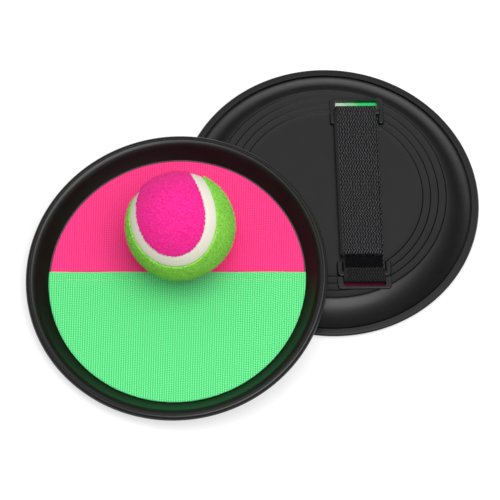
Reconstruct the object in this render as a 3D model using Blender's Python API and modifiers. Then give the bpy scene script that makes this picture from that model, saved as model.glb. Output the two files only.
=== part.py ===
"""Hook and loop catch set: two dished catch paddles with hand straps, and a felt ball.

The back paddle lies face down, so its strap is on top. The front paddle lies face up. Its back
touches the floor on one side and its strap lies on the back paddle, and the ball sits on its pad.
Lengths below are in millimetres and heights of the paddle run from its back to its face.
"""
import math

import bmesh
import bpy
import numpy as np
from mathutils import Euler, Matrix, Vector
from mathutils.bvhtree import BVHTree

MM = 0.001
GAP = 0.3
WELD = 0.00001

# Moulded shell
PADDLE_DIAMETER = 183.0
PADDLE_DEPTH = 13.8
SHELL_WALL = 2.3
SHOULDER_WIDTH = 15.4
SHOULDER_CURVE = 1.65
SHOULDER_STEPS = 5
RING_STEPS = 48

# Rim of the shell, a thick band with a fine bead on its lip and a groove behind it
RIM_WIDTH = 5.0
RIM_THICKNESS = 3.4
RIM_ROLL = 1.2
LIP_ROLL = 1.5
BEAD_WIDTH = 1.1
BEAD_FLAT = 0.5
BEAD_HEIGHT = 0.5
BEAD_SETBACK = 3.3
RIM_GROOVE_WIDTH = 0.7
RIM_GROOVE_DEPTH = 1.0

# Fine rings on the back
RING_COUNT = 4
RING_PITCH = 4.75
RING_WIDTH = 1.0
RING_DEPTH = 0.5

# Strap anchors
STRAP_OFFSET = 18.3
ANCHOR_SETBACK = 5.7
WEBBING_WIDTH = 25.4
WEBBING = 1.1
RAIL_WIDTH = 3.5
RAIL_LENGTH = 10.4
RAIL_HEIGHT = 2.5
RAIL_SETBACK = 0.1
RAIL_CORNER = 1.6
RAIL_EDGE = 0.7
BORDER = 1.5
BORDER_LENGTH = 9.4
BORDER_HEIGHT = 1.0
BORDER_CORNER = 2.5
BORDER_EDGE = 0.4
BORDER_ROOT = 0.6
SLOT_LENGTH = 17.4
SLOT_CORNER = 1.5
SLOT_DIP = 3.2
BAR_INSET = 8.0
BAR_WIDTH = 4.0
BAR_EDGE = 1.15
BAR_SINK = 0.05

# Webbing, hook patch and loop tape
TAPE = 0.6
TAPE_WIDTH = 23.0
UPPER_SHIFT = -1.65
UPPER_LIFT = 0.2
TURN_SHIFT = -1.0
SEWN_TURN_SLACK = 2.6
FREE_TURN_SLACK = 0.9
TAIL_SETBACK = 1.3
TAIL_SEAM = 2.7
FREE_END_SETBACK = 3.0
HOOK_PATCH_LENGTH = 27.0
HOOK_PATCH_SETBACK = 1.0
LOOP_TAPE_LENGTH = 72.5
LOOP_TAPE_REACH = 5.9
LOOP_TAPE_BEND = 0.2
ARC_STEPS = 7

# Catch pad, two halves that lap along the middle
PAD_BELOW_LIP = 7.8
PAD_EDGE_DROP = 0.5
PAD_EDGE_STEPS = 9
PAD_STEP = 0.5
PAD_LAP = 5.4
PAD_FABRIC = 1.2

# Ball
BALL_DIAMETER = 66.0
FELT = 1.6
SEAM_WIDTH = 6.6
SEAM_BELOW_FELT = 0.4
SEAM_ROOT = 6.5
SEAM_SHAPE = 0.31
SEAM_STEPS = 64
FELT_FINENESS = 4
INSIDE_FINENESS = 3

# How the pieces lie
BACK_TURN = math.radians(0.6)
CENTRE_DISTANCE = 112.1
CENTRE_HEADING = math.radians(-147.3)
FRONT_TURN = math.radians(-2.9)
LEAN_HEADING = math.radians(-136.0)
STEEPEST_LEAN = math.radians(25.0)
LEAN_TRIES = 16
BALL_SPOT = (3.7, 22.7)
BALL_TURN = (math.radians(88.2), math.radians(-59.9), math.radians(8.0))

RIM_RADIUS = PADDLE_DIAMETER / 2
RIM_TOP = PADDLE_DEPTH - BEAD_HEIGHT
BEAD_RADIUS = RIM_RADIUS - BEAD_SETBACK
SHOULDER_RADIUS = RIM_RADIUS - RIM_WIDTH
SHOULDER_HEIGHT = RIM_TOP - RIM_THICKNESS
BACK_FLAT_RADIUS = SHOULDER_RADIUS - SHOULDER_WIDTH
SLOT_HALF = WEBBING_WIDTH / 2 + GAP
ANCHOR_END = BACK_FLAT_RADIUS - ANCHOR_SETBACK
SLOT_INNER = ANCHOR_END - BORDER - SLOT_LENGTH
BAR_LINE = ANCHOR_END - BAR_INSET
FREE_END = SLOT_INNER - FREE_END_SETBACK
LOOP_TAPE_TO = SLOT_INNER + LOOP_TAPE_REACH
BALL_RADIUS = BALL_DIAMETER / 2
PINK_TOP = PADDLE_DEPTH - PAD_BELOW_LIP
GREEN_TOP = PINK_TOP + PAD_STEP
PAD_BOTTOM = SHELL_WALL + GAP

COLOURS = {
    "shell": ((0.016, 0.016, 0.018), 0.38),
    "pink": ((0.95, 0.07, 0.32), 0.9),
    "green": ((0.10, 0.78, 0.22), 0.9),
    "webbing": ((0.018, 0.018, 0.020), 0.85),
    "tape": ((0.010, 0.010, 0.012), 0.95),
    "rubber": ((0.80, 0.79, 0.74), 0.6),
    "pink_felt": ((0.86, 0.05, 0.30), 0.95),
    "green_felt": ((0.42, 0.78, 0.08), 0.95),
}


def clear_scene():
    """Remove every object of the open scene."""
    for item in list(bpy.data.objects):
        bpy.data.objects.remove(item, do_unlink=True)


def new_collection(name):
    """Make a collection and link it to the scene."""
    collection = bpy.data.collections.new(name)
    bpy.context.scene.collection.children.link(collection)
    return collection


def material(name):
    """Return the named Principled material, made on first use."""
    found = bpy.data.materials.get(name)
    if found:
        return found
    colour, roughness = COLOURS[name]
    made = bpy.data.materials.new(name)
    made.use_nodes = True
    shader = made.node_tree.nodes["Principled BSDF"]
    shader.inputs["Base Color"].default_value = (*colour, 1.0)
    shader.inputs["Roughness"].default_value = roughness
    made.diffuse_color = (*colour, 1.0)
    return made


def mesh_object(name, bm, collection):
    """Turn a bmesh into an object of the given collection."""
    mesh = bpy.data.meshes.new(name)
    bm.to_mesh(mesh)
    bm.free()
    made = bpy.data.objects.new(name, mesh)
    collection.objects.link(made)
    return made


def baked(source, name):
    """Return the source's evaluated mesh under a new name and remove the source."""
    bpy.context.view_layer.update()
    mesh = bpy.data.meshes.new_from_object(source.evaluated_get(bpy.context.evaluated_depsgraph_get()))
    mesh.name = name
    bpy.data.objects.remove(source, do_unlink=True)
    return mesh


def combine(target, tool, operation):
    """Join or cut the target with a tool object, which stays hidden."""
    tool.hide_render = True
    tool.display_type = "WIRE"
    step = target.modifiers.new(tool.name, "BOOLEAN")
    step.object = tool
    step.operation = operation
    step.solver = "EXACT"


def turned(name, profile, collection):
    """Turn a profile of (radius, height) points, given from the top down its outer side."""
    bm = bmesh.new()
    points = [bm.verts.new((radius * MM, 0.0, height * MM)) for radius, height in profile]
    for first, second in zip(points, points[1:]):
        bm.edges.new((first, second))
    made = mesh_object(name, bm, collection)
    screw = made.modifiers.new("turn", "SCREW")
    screw.steps = screw.render_steps = RING_STEPS
    screw.use_merge_vertices = True
    screw.merge_threshold = WELD
    return made


def block(name, low, high, corner, collection, edge=0.0, steps=3):
    """Make a block between two corners with rounded upright edges.

    A positive edge also rounds the rim of its outer face, the one with the lower height.
    """
    bm = bmesh.new()
    low, high = Vector(low), Vector(high)
    bmesh.ops.create_cube(bm, size=1.0)
    bmesh.ops.scale(bm, vec=(high - low) * MM, verts=bm.verts)
    bmesh.ops.translate(bm, vec=(high + low) / 2 * MM, verts=bm.verts)
    if corner:
        upright = [e for e in bm.edges if abs(e.verts[0].co.z - e.verts[1].co.z) > WELD]
        bmesh.ops.bevel(bm, geom=upright, offset=corner * MM, segments=steps, profile=0.5, affect="EDGES")
    if edge:
        floor = low.z * MM + WELD
        outer = [e for e in bm.edges if all(v.co.z < floor for v in e.verts)]
        bmesh.ops.bevel(bm, geom=outer, offset=edge * MM, segments=2, profile=0.5, affect="EDGES")
    return mesh_object(name, bm, collection)


def arc(centre, radius, start, end, steps):
    """Points of an arc between two angles in degrees."""
    angles = np.radians(np.linspace(start, end, steps + 1))
    return [(centre[0] + radius * math.cos(a), centre[1] + radius * math.sin(a)) for a in angles]


def shoulder(share, offset=0.0):
    """Point on the shell's curved shoulder, moved inward along its normal by an offset."""
    slope = SHOULDER_HEIGHT * SHOULDER_CURVE * share ** (SHOULDER_CURVE - 1)
    length = math.hypot(SHOULDER_WIDTH, slope)
    radius = BACK_FLAT_RADIUS + SHOULDER_WIDTH * share - offset * slope / length
    height = SHOULDER_HEIGHT * share ** SHOULDER_CURVE + offset * SHOULDER_WIDTH / length
    return radius, height


def shell_profile():
    """Outline of half the shell, from the middle of its face round the rim to its back."""
    shares = np.linspace(0.0, 1.0, SHOULDER_STEPS + 1)
    face = [(0.0, SHELL_WALL)] + [shoulder(share, SHELL_WALL) for share in shares]
    lip_radius = face[-1][0] + LIP_ROLL
    face += arc((lip_radius, RIM_TOP - LIP_ROLL), LIP_ROLL, 150.0, 90.0, 2)
    rim = [(BEAD_RADIUS - BEAD_WIDTH / 2, RIM_TOP), (BEAD_RADIUS - BEAD_FLAT / 2, PADDLE_DEPTH),
           (BEAD_RADIUS + BEAD_FLAT / 2, PADDLE_DEPTH), (BEAD_RADIUS + BEAD_WIDTH / 2, RIM_TOP)]
    rim += arc((RIM_RADIUS - RIM_ROLL, RIM_TOP - RIM_ROLL), RIM_ROLL, 90.0, 0.0, 3)
    rim += arc((RIM_RADIUS - RIM_ROLL, SHOULDER_HEIGHT + RIM_ROLL), RIM_ROLL, 0.0, -90.0, 2)
    rim += [(SHOULDER_RADIUS + RIM_GROOVE_WIDTH, SHOULDER_HEIGHT),
            (SHOULDER_RADIUS + RIM_GROOVE_WIDTH / 2, SHOULDER_HEIGHT + RIM_GROOVE_DEPTH)]
    back = [shoulder(share) for share in shares[:0:-1]]
    for index in range(RING_COUNT):
        ring = BACK_FLAT_RADIUS - index * RING_PITCH
        back += [(ring, 0.0), (ring - RING_WIDTH / 2, RING_DEPTH), (ring - RING_WIDTH, 0.0)]
    return face + rim + back + [(0.0, 0.0)]


def shell_mesh(tools):
    """Dished shell with the two moulded strap anchors on its back."""
    body = turned("shell_body", shell_profile(), tools)
    outer_half = SLOT_HALF + RAIL_WIDTH
    middle = SHELL_WALL / 2
    for side in (1, -1):
        def span(near, far):
            return sorted((side * near, side * far))

        y0, y1 = span(ANCHOR_END - BORDER_LENGTH, ANCHOR_END)
        border = block(f"border_{side}", (STRAP_OFFSET - outer_half, y0, -BORDER_HEIGHT),
                       (STRAP_OFFSET + outer_half, y1, middle + BORDER_ROOT),
                       BORDER_CORNER, tools, BORDER_EDGE)
        combine(body, border, "UNION")
        y0, y1 = span(BAR_LINE - RAIL_LENGTH, BAR_LINE)
        for hand in (1, -1):
            x0, x1 = sorted((hand * (SLOT_HALF + RAIL_SETBACK), hand * outer_half))
            rail = block(f"rail_{side}_{hand}", (STRAP_OFFSET + x0, y0, -RAIL_HEIGHT),
                         (STRAP_OFFSET + x1, y1, middle), RAIL_CORNER, tools, RAIL_EDGE)
            combine(body, rail, "UNION")
        y0, y1 = span(SLOT_INNER, ANCHOR_END - BORDER)
        slot = block(f"slot_{side}", (STRAP_OFFSET - SLOT_HALF, y0, -2 * RAIL_HEIGHT),
                     (STRAP_OFFSET + SLOT_HALF, y1, PADDLE_DEPTH), SLOT_CORNER, tools)
        combine(body, slot, "DIFFERENCE")
        combine(body, crossbar(f"bar_{side}", side, tools), "UNION")
    return baked(body, "paddle_shell")


def crossbar(name, side, tools):
    """Round-edged bar between the rails, which the webbing wraps."""
    bm = bmesh.new()
    bmesh.ops.create_cube(bm, size=1.0)
    length = 2 * SLOT_HALF + RAIL_WIDTH
    bmesh.ops.scale(bm, vec=Vector((length, BAR_WIDTH, RAIL_HEIGHT)) * MM, verts=bm.verts)
    along = [e for e in bm.edges if abs(e.verts[0].co.x - e.verts[1].co.x) > WELD]
    bmesh.ops.bevel(bm, geom=along, offset=BAR_EDGE * MM, segments=3, profile=0.5, affect="EDGES")
    place = Vector((STRAP_OFFSET, side * (BAR_LINE - BAR_WIDTH / 2), BAR_SINK - RAIL_HEIGHT / 2)) * MM
    bmesh.ops.translate(bm, vec=place, verts=bm.verts)
    return mesh_object(name, bm, tools)


def ribbon_mesh(name, route, width, thickness, tools):
    """Strip of fabric of the given width that follows a route of (shift, y, height) points."""
    bm = bmesh.new()
    rows = []
    for shift, y, height in route:
        x = STRAP_OFFSET + shift
        rows.append([bm.verts.new(((x + hand * width / 2) * MM, y * MM, -height * MM)) for hand in (-1, 1)])
    for first, second in zip(rows, rows[1:]):
        bm.faces.new((first[0], first[1], second[1], second[0]))
    strip = mesh_object(name, bm, tools)
    solid = strip.modifiers.new("thickness", "SOLIDIFY")
    solid.thickness = thickness * MM
    solid.offset = 0.0
    solid.use_even_offset = True
    return baked(strip, name)


def layer_height(layer):
    """Height of a strap layer's middle above the back: lower webbing, loops, hooks, upper webbing."""
    lower = GAP + WEBBING / 2
    loops = lower + WEBBING / 2 + GAP + TAPE / 2
    hooks = loops + TAPE + GAP
    upper = hooks + TAPE / 2 + GAP + WEBBING / 2
    return {"lower": lower, "loops": loops, "hooks": hooks, "upper": upper}[layer]


def bar_turn(side, shift, slack):
    """Route points round a crossbar, from under it to over it, loose by a slack at its outer side."""
    radius = RAIL_HEIGHT / 2 + GAP + WEBBING / 2
    middle = BAR_LINE - RAIL_HEIGHT / 2
    turn = arc((0.0, RAIL_HEIGHT / 2), radius, -90.0, 90.0, ARC_STEPS)
    return [(shift, side * (middle + y * (1.0 + slack / radius)), height) for y, height in turn]


def strap_meshes(tools):
    """Webbing and the two tapes that hold its free end."""
    lower, loops = layer_height("lower"), layer_height("loops")
    hooks, upper = layer_height("hooks"), layer_height("upper")
    under = -(GAP + WEBBING / 2)
    over_bar = RAIL_HEIGHT + GAP + WEBBING / 2
    bar_in = BAR_LINE - BAR_WIDTH
    slope = (over_bar - lower) / (bar_in - SLOT_INNER)
    slant = math.hypot(1.0, slope)
    fold = (WEBBING + GAP) * slant

    def ramp(y):
        return lower + slope * (y - SLOT_INNER)

    dip_from = SLOT_INNER + SLOT_CORNER / 2
    tail_end = SLOT_INNER + TAIL_SETBACK
    seam_end = tail_end + TAIL_SEAM
    webbing = [(0.0, tail_end, ramp(tail_end) - fold), (0.0, seam_end, ramp(seam_end) - fold)]
    webbing += [(0.0, bar_in, under)] + bar_turn(1, 0.0, SEWN_TURN_SLACK)
    webbing += [(0.0, bar_in, over_bar), (0.0, SLOT_INNER, lower), (0.0, 0.0, lower)]
    webbing += [(0.0, -dip_from, lower), (0.0, -dip_from - SLOT_DIP, under)]
    webbing += bar_turn(-1, 0.0, FREE_TURN_SLACK)
    webbing += [(TURN_SHIFT, -bar_in, over_bar + UPPER_LIFT), (UPPER_SHIFT, -SLOT_INNER, upper)]
    webbing += [(UPPER_SHIFT, 0.0, upper), (UPPER_SHIFT, FREE_END, upper)]
    on_ramp = ramp(LOOP_TAPE_TO) + (loops - lower) * slant
    loop_route = [(0.0, LOOP_TAPE_TO - LOOP_TAPE_LENGTH, loops), (0.0, SLOT_INNER - LOOP_TAPE_BEND, loops),
                  (0.0, LOOP_TAPE_TO, on_ramp)]
    hook_end = FREE_END - HOOK_PATCH_SETBACK
    hook_route = [(UPPER_SHIFT, hook_end - HOOK_PATCH_LENGTH, hooks), (UPPER_SHIFT, hook_end, hooks)]
    return {
        "strap": ribbon_mesh("webbing", webbing, WEBBING_WIDTH, WEBBING, tools),
        "loop_tape": ribbon_mesh("loop_tape", loop_route, TAPE_WIDTH, TAPE, tools),
        "hook_patch": ribbon_mesh("hook_patch", hook_route, TAPE_WIDTH, TAPE, tools),
    }


def pad_half(name, top, cuts, tools):
    """Half of the round pad: a disc with a chamfered edge, cut back by blocks."""
    clearance = SHELL_WALL + GAP
    profile = [(0.0, top)]
    edge = [shoulder(share, clearance) for share in np.linspace(0.0, 1.0, PAD_EDGE_STEPS)]
    edge = [point for point in edge if point[1] < top - PAD_EDGE_DROP]
    profile += [(edge[-1][0] - PAD_EDGE_DROP, top)] + edge[::-1] + [(0.0, PAD_BOTTOM)]
    disc = turned(name, profile, tools)
    reach = PADDLE_DIAMETER
    for index, (y0, y1, z0, z1) in enumerate(cuts):
        cut = block(f"{name}_cut_{index}", (-reach, y0, z0), (reach, y1, z1), 0.0, tools)
        combine(disc, cut, "DIFFERENCE")
    return baked(disc, name)


def pad_meshes(tools):
    """Pink half and the green half that laps over it."""
    reach = PADDLE_DIAMETER
    lap_floor = GREEN_TOP - PAD_FABRIC
    pink_cuts = [(-reach, 0.0, -reach, reach), (-reach, PAD_LAP + GAP, lap_floor - GAP, reach)]
    green_cuts = [(PAD_LAP, reach, -reach, reach), (-GAP, reach, -reach, lap_floor)]
    return {
        "pad_pink": pad_half("pad_pink", PINK_TOP, pink_cuts, tools),
        "pad_green": pad_half("pad_green", GREEN_TOP, green_cuts, tools),
    }


def seam_band(name, width, inner, outer, tools):
    """Closed band along the ball's seam, square to the ball's surface all the way round."""
    turn = np.linspace(0.0, 2 * math.pi, SEAM_STEPS, endpoint=False)
    wide, narrow = 1.0 - SEAM_SHAPE, SEAM_SHAPE
    line = np.stack([wide * np.cos(turn) + narrow * np.cos(3 * turn),
                     wide * np.sin(turn) - narrow * np.sin(3 * turn),
                     2 * math.sqrt(wide * narrow) * np.sin(2 * turn)], axis=1)
    along = np.roll(line, -1, axis=0) - np.roll(line, 1, axis=0)
    across = np.cross(line, along)
    across /= np.linalg.norm(across, axis=1)[:, None]
    bm = bmesh.new()
    rings = []
    for point, side in zip(line, across):
        corners = []
        for radius, hand in ((inner, -1), (outer, -1), (outer, 0), (outer, 1), (inner, 1)):
            ray = point * radius + side * hand * width / 2
            ray *= radius / np.linalg.norm(ray)
            corners.append(bm.verts.new(ray * MM))
        rings.append(corners)
    for first, second in zip(rings, rings[1:] + rings[:1]):
        for index in range(5):
            after = (index + 1) % 5
            bm.faces.new((first[index], first[after], second[after], second[index]))
    bmesh.ops.recalc_face_normals(bm, faces=bm.faces)
    return mesh_object(name, bm, tools)


def sphere(name, radius, fineness, collection):
    """Round ball of even triangles."""
    bm = bmesh.new()
    bmesh.ops.create_icosphere(bm, subdivisions=fineness, radius=radius * MM)
    return mesh_object(name, bm, collection)


def one_island(mesh, toward, name):
    """Copy of a mesh with only the island whose face points most toward a direction."""
    bm = bmesh.new()
    bm.from_mesh(mesh)
    toward = Vector(toward).normalized()
    start = max(bm.faces, key=lambda face: face.calc_center_median().normalized().dot(toward))
    island, edge_of_search = {start}, [start]
    while edge_of_search:
        for edge in edge_of_search.pop().edges:
            for face in edge.link_faces:
                if face not in island:
                    island.add(face)
                    edge_of_search.append(face)
    bmesh.ops.delete(bm, geom=[face for face in bm.faces if face not in island], context="FACES")
    made = bpy.data.meshes.new(name)
    bm.to_mesh(made)
    bm.free()
    return made


def ball_meshes(tools):
    """Rubber core with its raised seam, and the felt panels on both sides of the seam."""
    core_radius = BALL_RADIUS - FELT - GAP
    core = sphere("ball_body", core_radius, INSIDE_FINENESS, tools)
    seam = seam_band("seam", SEAM_WIDTH, core_radius - SEAM_ROOT, BALL_RADIUS - SEAM_BELOW_FELT, tools)
    combine(core, seam, "UNION")
    felt = sphere("felt_skin", BALL_RADIUS, FELT_FINENESS, tools)
    combine(felt, sphere("felt_inside", BALL_RADIUS - FELT, INSIDE_FINENESS, tools), "DIFFERENCE")
    groove_width = SEAM_WIDTH + 2 * GAP
    groove = seam_band("seam_groove", groove_width, core_radius - SEAM_ROOT, BALL_RADIUS + FELT, tools)
    combine(felt, groove, "DIFFERENCE")
    skins = baked(felt, "felt_skins")
    return {
        "ball_core": baked(core, "ball_core"),
        "ball_felt_pink": one_island(skins, (0, 0, -1), "felt_pink"),
        "ball_felt_green": one_island(skins, (0, 0, 1), "felt_green"),
    }


def place_meshes(meshes, prefix, colours, matrix, collection):
    """Make one named object for each mesh, all with the same placement."""
    for part, mesh in meshes.items():
        made = bpy.data.objects.new(prefix + part, mesh)
        if not mesh.materials:
            mesh.materials.append(material(colours[part]))
        mesh.shade_smooth()
        mesh.set_sharp_from_angle(angle=math.radians(35))
        collection.objects.link(made)
        made.matrix_world = matrix


def triangles(meshes, matrix):
    """Points and faces of several meshes as one, after a placement."""
    points, faces = [], []
    for mesh in meshes.values():
        start = len(points)
        points += [matrix @ vertex.co for vertex in mesh.vertices]
        faces += [[start + corner for corner in polygon.vertices] for polygon in mesh.polygons]
    return points, faces


def front_placement(tilt, low_point=0.0):
    """Placement of the front paddle for a tilt, raised by the depth of its lowest point."""
    away = Vector((math.cos(CENTRE_HEADING), math.sin(CENTRE_HEADING), 0.0)) * CENTRE_DISTANCE * MM
    axis = Vector((-math.sin(LEAN_HEADING), math.cos(LEAN_HEADING), 0.0))
    turn = Matrix.Rotation(tilt, 4, axis) @ Matrix.Rotation(FRONT_TURN, 4, "Z")
    return Matrix.Translation(away - Vector((0.0, 0.0, low_point))) @ turn


def leaning_placement(meshes, back_matrix):
    """Least tilt at which the front paddle lies on the floor and clears the back paddle."""
    back_points, back_faces = triangles(meshes, back_matrix)
    raised = [point + Vector((0.0, 0.0, GAP * MM)) for point in back_points]
    back_tree = BVHTree.FromPolygons(raised, back_faces)
    level, faces = triangles(meshes, Matrix.Identity(4))
    low, high = 0.0, STEEPEST_LEAN
    for _ in range(LEAN_TRIES):
        tilt = (low + high) / 2
        turned_only = front_placement(tilt)
        depth = min((turned_only @ point).z for point in level)
        matrix = front_placement(tilt, depth)
        tree = BVHTree.FromPolygons([matrix @ point for point in level], faces)
        if tree.overlap(back_tree):
            low = tilt
        else:
            high = tilt
    turned_only = front_placement(high)
    depth = min((turned_only @ point).z for point in level)
    return front_placement(high, depth)


def centre_over_origin(collection):
    """Move every part so that the middle of the set's box stands over the origin."""
    bpy.context.view_layer.update()
    corners = [item.matrix_world @ vertex.co for item in collection.objects for vertex in item.data.vertices]
    low = Vector([min(corner[axis] for corner in corners) for axis in range(3)])
    high = Vector([max(corner[axis] for corner in corners) for axis in range(3)])
    shift = Matrix.Translation(Vector((-(low.x + high.x) / 2, -(low.y + high.y) / 2, -low.z)))
    for item in collection.objects:
        item.matrix_world = shift @ item.matrix_world


def main():
    """Build the two paddles and the ball."""
    clear_scene()
    parts = new_collection("catch_set")
    tools = new_collection("tools")
    paddle = {"shell": shell_mesh(tools), **pad_meshes(tools), **strap_meshes(tools)}
    colours = {"shell": "shell", "pad_pink": "pink", "pad_green": "green",
               "strap": "webbing", "loop_tape": "tape", "hook_patch": "tape"}
    face_down = Matrix.Rotation(BACK_TURN, 4, "Z") @ Matrix.Rotation(math.pi, 4, "X")
    back_matrix = Matrix.Translation((0.0, 0.0, PADDLE_DEPTH * MM)) @ face_down
    front_matrix = leaning_placement(paddle, back_matrix)
    place_meshes(paddle, "back_", colours, back_matrix, parts)
    place_meshes(paddle, "front_", colours, front_matrix, parts)
    ball_height = PINK_TOP + GAP + BALL_RADIUS
    ball_centre = front_matrix @ (Vector((*BALL_SPOT, ball_height)) * MM)
    ball_matrix = Matrix.Translation(ball_centre) @ Euler(BALL_TURN).to_matrix().to_4x4()
    ball_colours = {"ball_core": "rubber", "ball_felt_pink": "pink_felt", "ball_felt_green": "green_felt"}
    place_meshes(ball_meshes(tools), "", ball_colours, ball_matrix, parts)
    centre_over_origin(parts)


main()
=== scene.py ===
"""Looks of the hook and loop catch set: two catch paddles with hand straps and a felt ball.

Lengths are in millimetres until a piece is put in its place. A paddle's own frame starts in the middle
of its back: x runs across the strap, y along it with the pink half of the pad at positive y, and z from
the back to the face. Heights of the strap's layers are counted outward from the back.
"""
import logging
import math
from dataclasses import dataclass, field
from enum import Enum

import bmesh
import bpy
import numpy as np
from mathutils import Euler, Matrix, Vector


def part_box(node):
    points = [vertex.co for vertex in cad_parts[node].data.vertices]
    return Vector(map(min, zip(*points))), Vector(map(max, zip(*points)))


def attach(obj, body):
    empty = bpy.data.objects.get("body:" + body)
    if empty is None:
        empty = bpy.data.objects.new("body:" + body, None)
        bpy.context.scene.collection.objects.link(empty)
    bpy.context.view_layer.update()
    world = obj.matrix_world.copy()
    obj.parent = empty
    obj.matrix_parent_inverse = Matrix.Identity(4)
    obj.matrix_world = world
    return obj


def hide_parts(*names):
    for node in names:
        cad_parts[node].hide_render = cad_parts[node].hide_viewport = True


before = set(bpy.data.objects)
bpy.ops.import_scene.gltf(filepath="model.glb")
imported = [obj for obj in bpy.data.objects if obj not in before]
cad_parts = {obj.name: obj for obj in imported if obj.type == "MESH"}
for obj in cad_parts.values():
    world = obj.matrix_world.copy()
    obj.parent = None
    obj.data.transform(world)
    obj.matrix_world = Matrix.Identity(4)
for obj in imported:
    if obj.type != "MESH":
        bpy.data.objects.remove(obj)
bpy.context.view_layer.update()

MM = 0.001
ROOT = "root"
WELD = 1e-6
LOG = logging.getLogger("catch_set")


class Half(Enum):
    """The two colours of the pad and of the ball's felt, with the side of the paddle each lies on."""

    PINK = 1
    GREEN = -1


class Anchor(Enum):
    """The two strap anchors, with the side of the paddle each lies on."""

    SEWN_END = 1
    FREE_TURN = -1


def linear(hex_colour: str) -> tuple[float, float, float, float]:
    """Turn an sRGB hex colour into linear red, green, blue and alpha.

    Args:
        hex_colour: Six hex digits, as in "FF8800".

    Returns:
        Linear channels from 0 to 1, with an alpha of 1.
    """
    channels = [int(hex_colour[start:start + 2], 16) / 255 for start in (0, 2, 4)]
    red, green, blue = [c / 12.92 if c <= 0.04045 else ((c + 0.055) / 1.055) ** 2.4 for c in channels]
    return red, green, blue, 1.0


def node(tree: bpy.types.NodeTree, kind: str, fed: dict | None = None, **settings: object) -> bpy.types.Node:
    """Add a node with its settings, and feed its sockets with values or links.

    Args:
        tree: Node tree that gets the node.
        kind: Type of the node.
        fed: Socket names or numbers, each with a value or another node's output.
        settings: Properties of the node.

    Returns:
        The new node.
    """
    made = tree.nodes.new(kind)
    for name, value in settings.items():
        setattr(made, name, value)
    for socket, value in (fed or {}).items():
        if isinstance(value, bpy.types.NodeSocket):
            tree.links.new(value, made.inputs[socket])
        else:
            made.inputs[socket].default_value = value
    return made


def new_material(name: str) -> tuple[bpy.types.Material, bpy.types.NodeTree, bpy.types.Node]:
    """Make a material with a Principled shader.

    Args:
        name: Name of the real material.

    Returns:
        The material, its node tree and its shader.
    """
    made = bpy.data.materials.new(name)
    made.use_nodes = True
    return made, made.node_tree, made.node_tree.nodes["Principled BSDF"]


@dataclass(frozen=True)
class MouldedPlastic:
    """Black polypropylene, injection moulded in a finely blasted tool, so it is satin with a fine grain."""

    colour: str = "060607"
    worn: str = "0C0C0D"
    ior: float = 1.42
    roughness: float = 0.33
    roughness_spread: float = 0.05
    grain: float = 0.45
    grain_height: float = 0.006
    grain_strength: float = 0.5
    cloud: float = 14.0

    def material(self) -> bpy.types.Material:
        """Make the material, its grain and faint clouding read from object coordinates.

        The tool's real grain is finer than a pixel of the render, so it is drawn coarser.

        Returns:
            The material.
        """
        made, tree, shader = new_material("moulded black polypropylene")
        place = node(tree, "ShaderNodeTexCoord")
        grain = node(tree, "ShaderNodeTexNoise", {"Vector": place.outputs["Object"], "Scale": 1 / (self.grain * MM),
                                                  "Detail": 2.0})
        cloud = node(tree, "ShaderNodeTexNoise", {"Vector": place.outputs["Object"], "Scale": 1 / (self.cloud * MM),
                                                  "Detail": 4.0})
        tint = node(tree, "ShaderNodeMix", {0: cloud.outputs["Fac"], 6: linear(self.colour), 7: linear(self.worn)},
                    data_type="RGBA")
        gloss = node(tree, "ShaderNodeMapRange", {"Value": cloud.outputs["Fac"],
                                                  "To Min": self.roughness - self.roughness_spread,
                                                  "To Max": self.roughness + self.roughness_spread})
        bump = node(tree, "ShaderNodeBump", {"Height": grain.outputs["Fac"], "Strength": self.grain_strength,
                                             "Distance": self.grain_height * MM})
        shader.inputs["IOR"].default_value = self.ior
        tree.links.new(tint.outputs[2], shader.inputs["Base Color"])
        tree.links.new(gloss.outputs["Result"], shader.inputs["Roughness"])
        tree.links.new(bump.outputs["Normal"], shader.inputs["Normal"])
        return made


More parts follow.
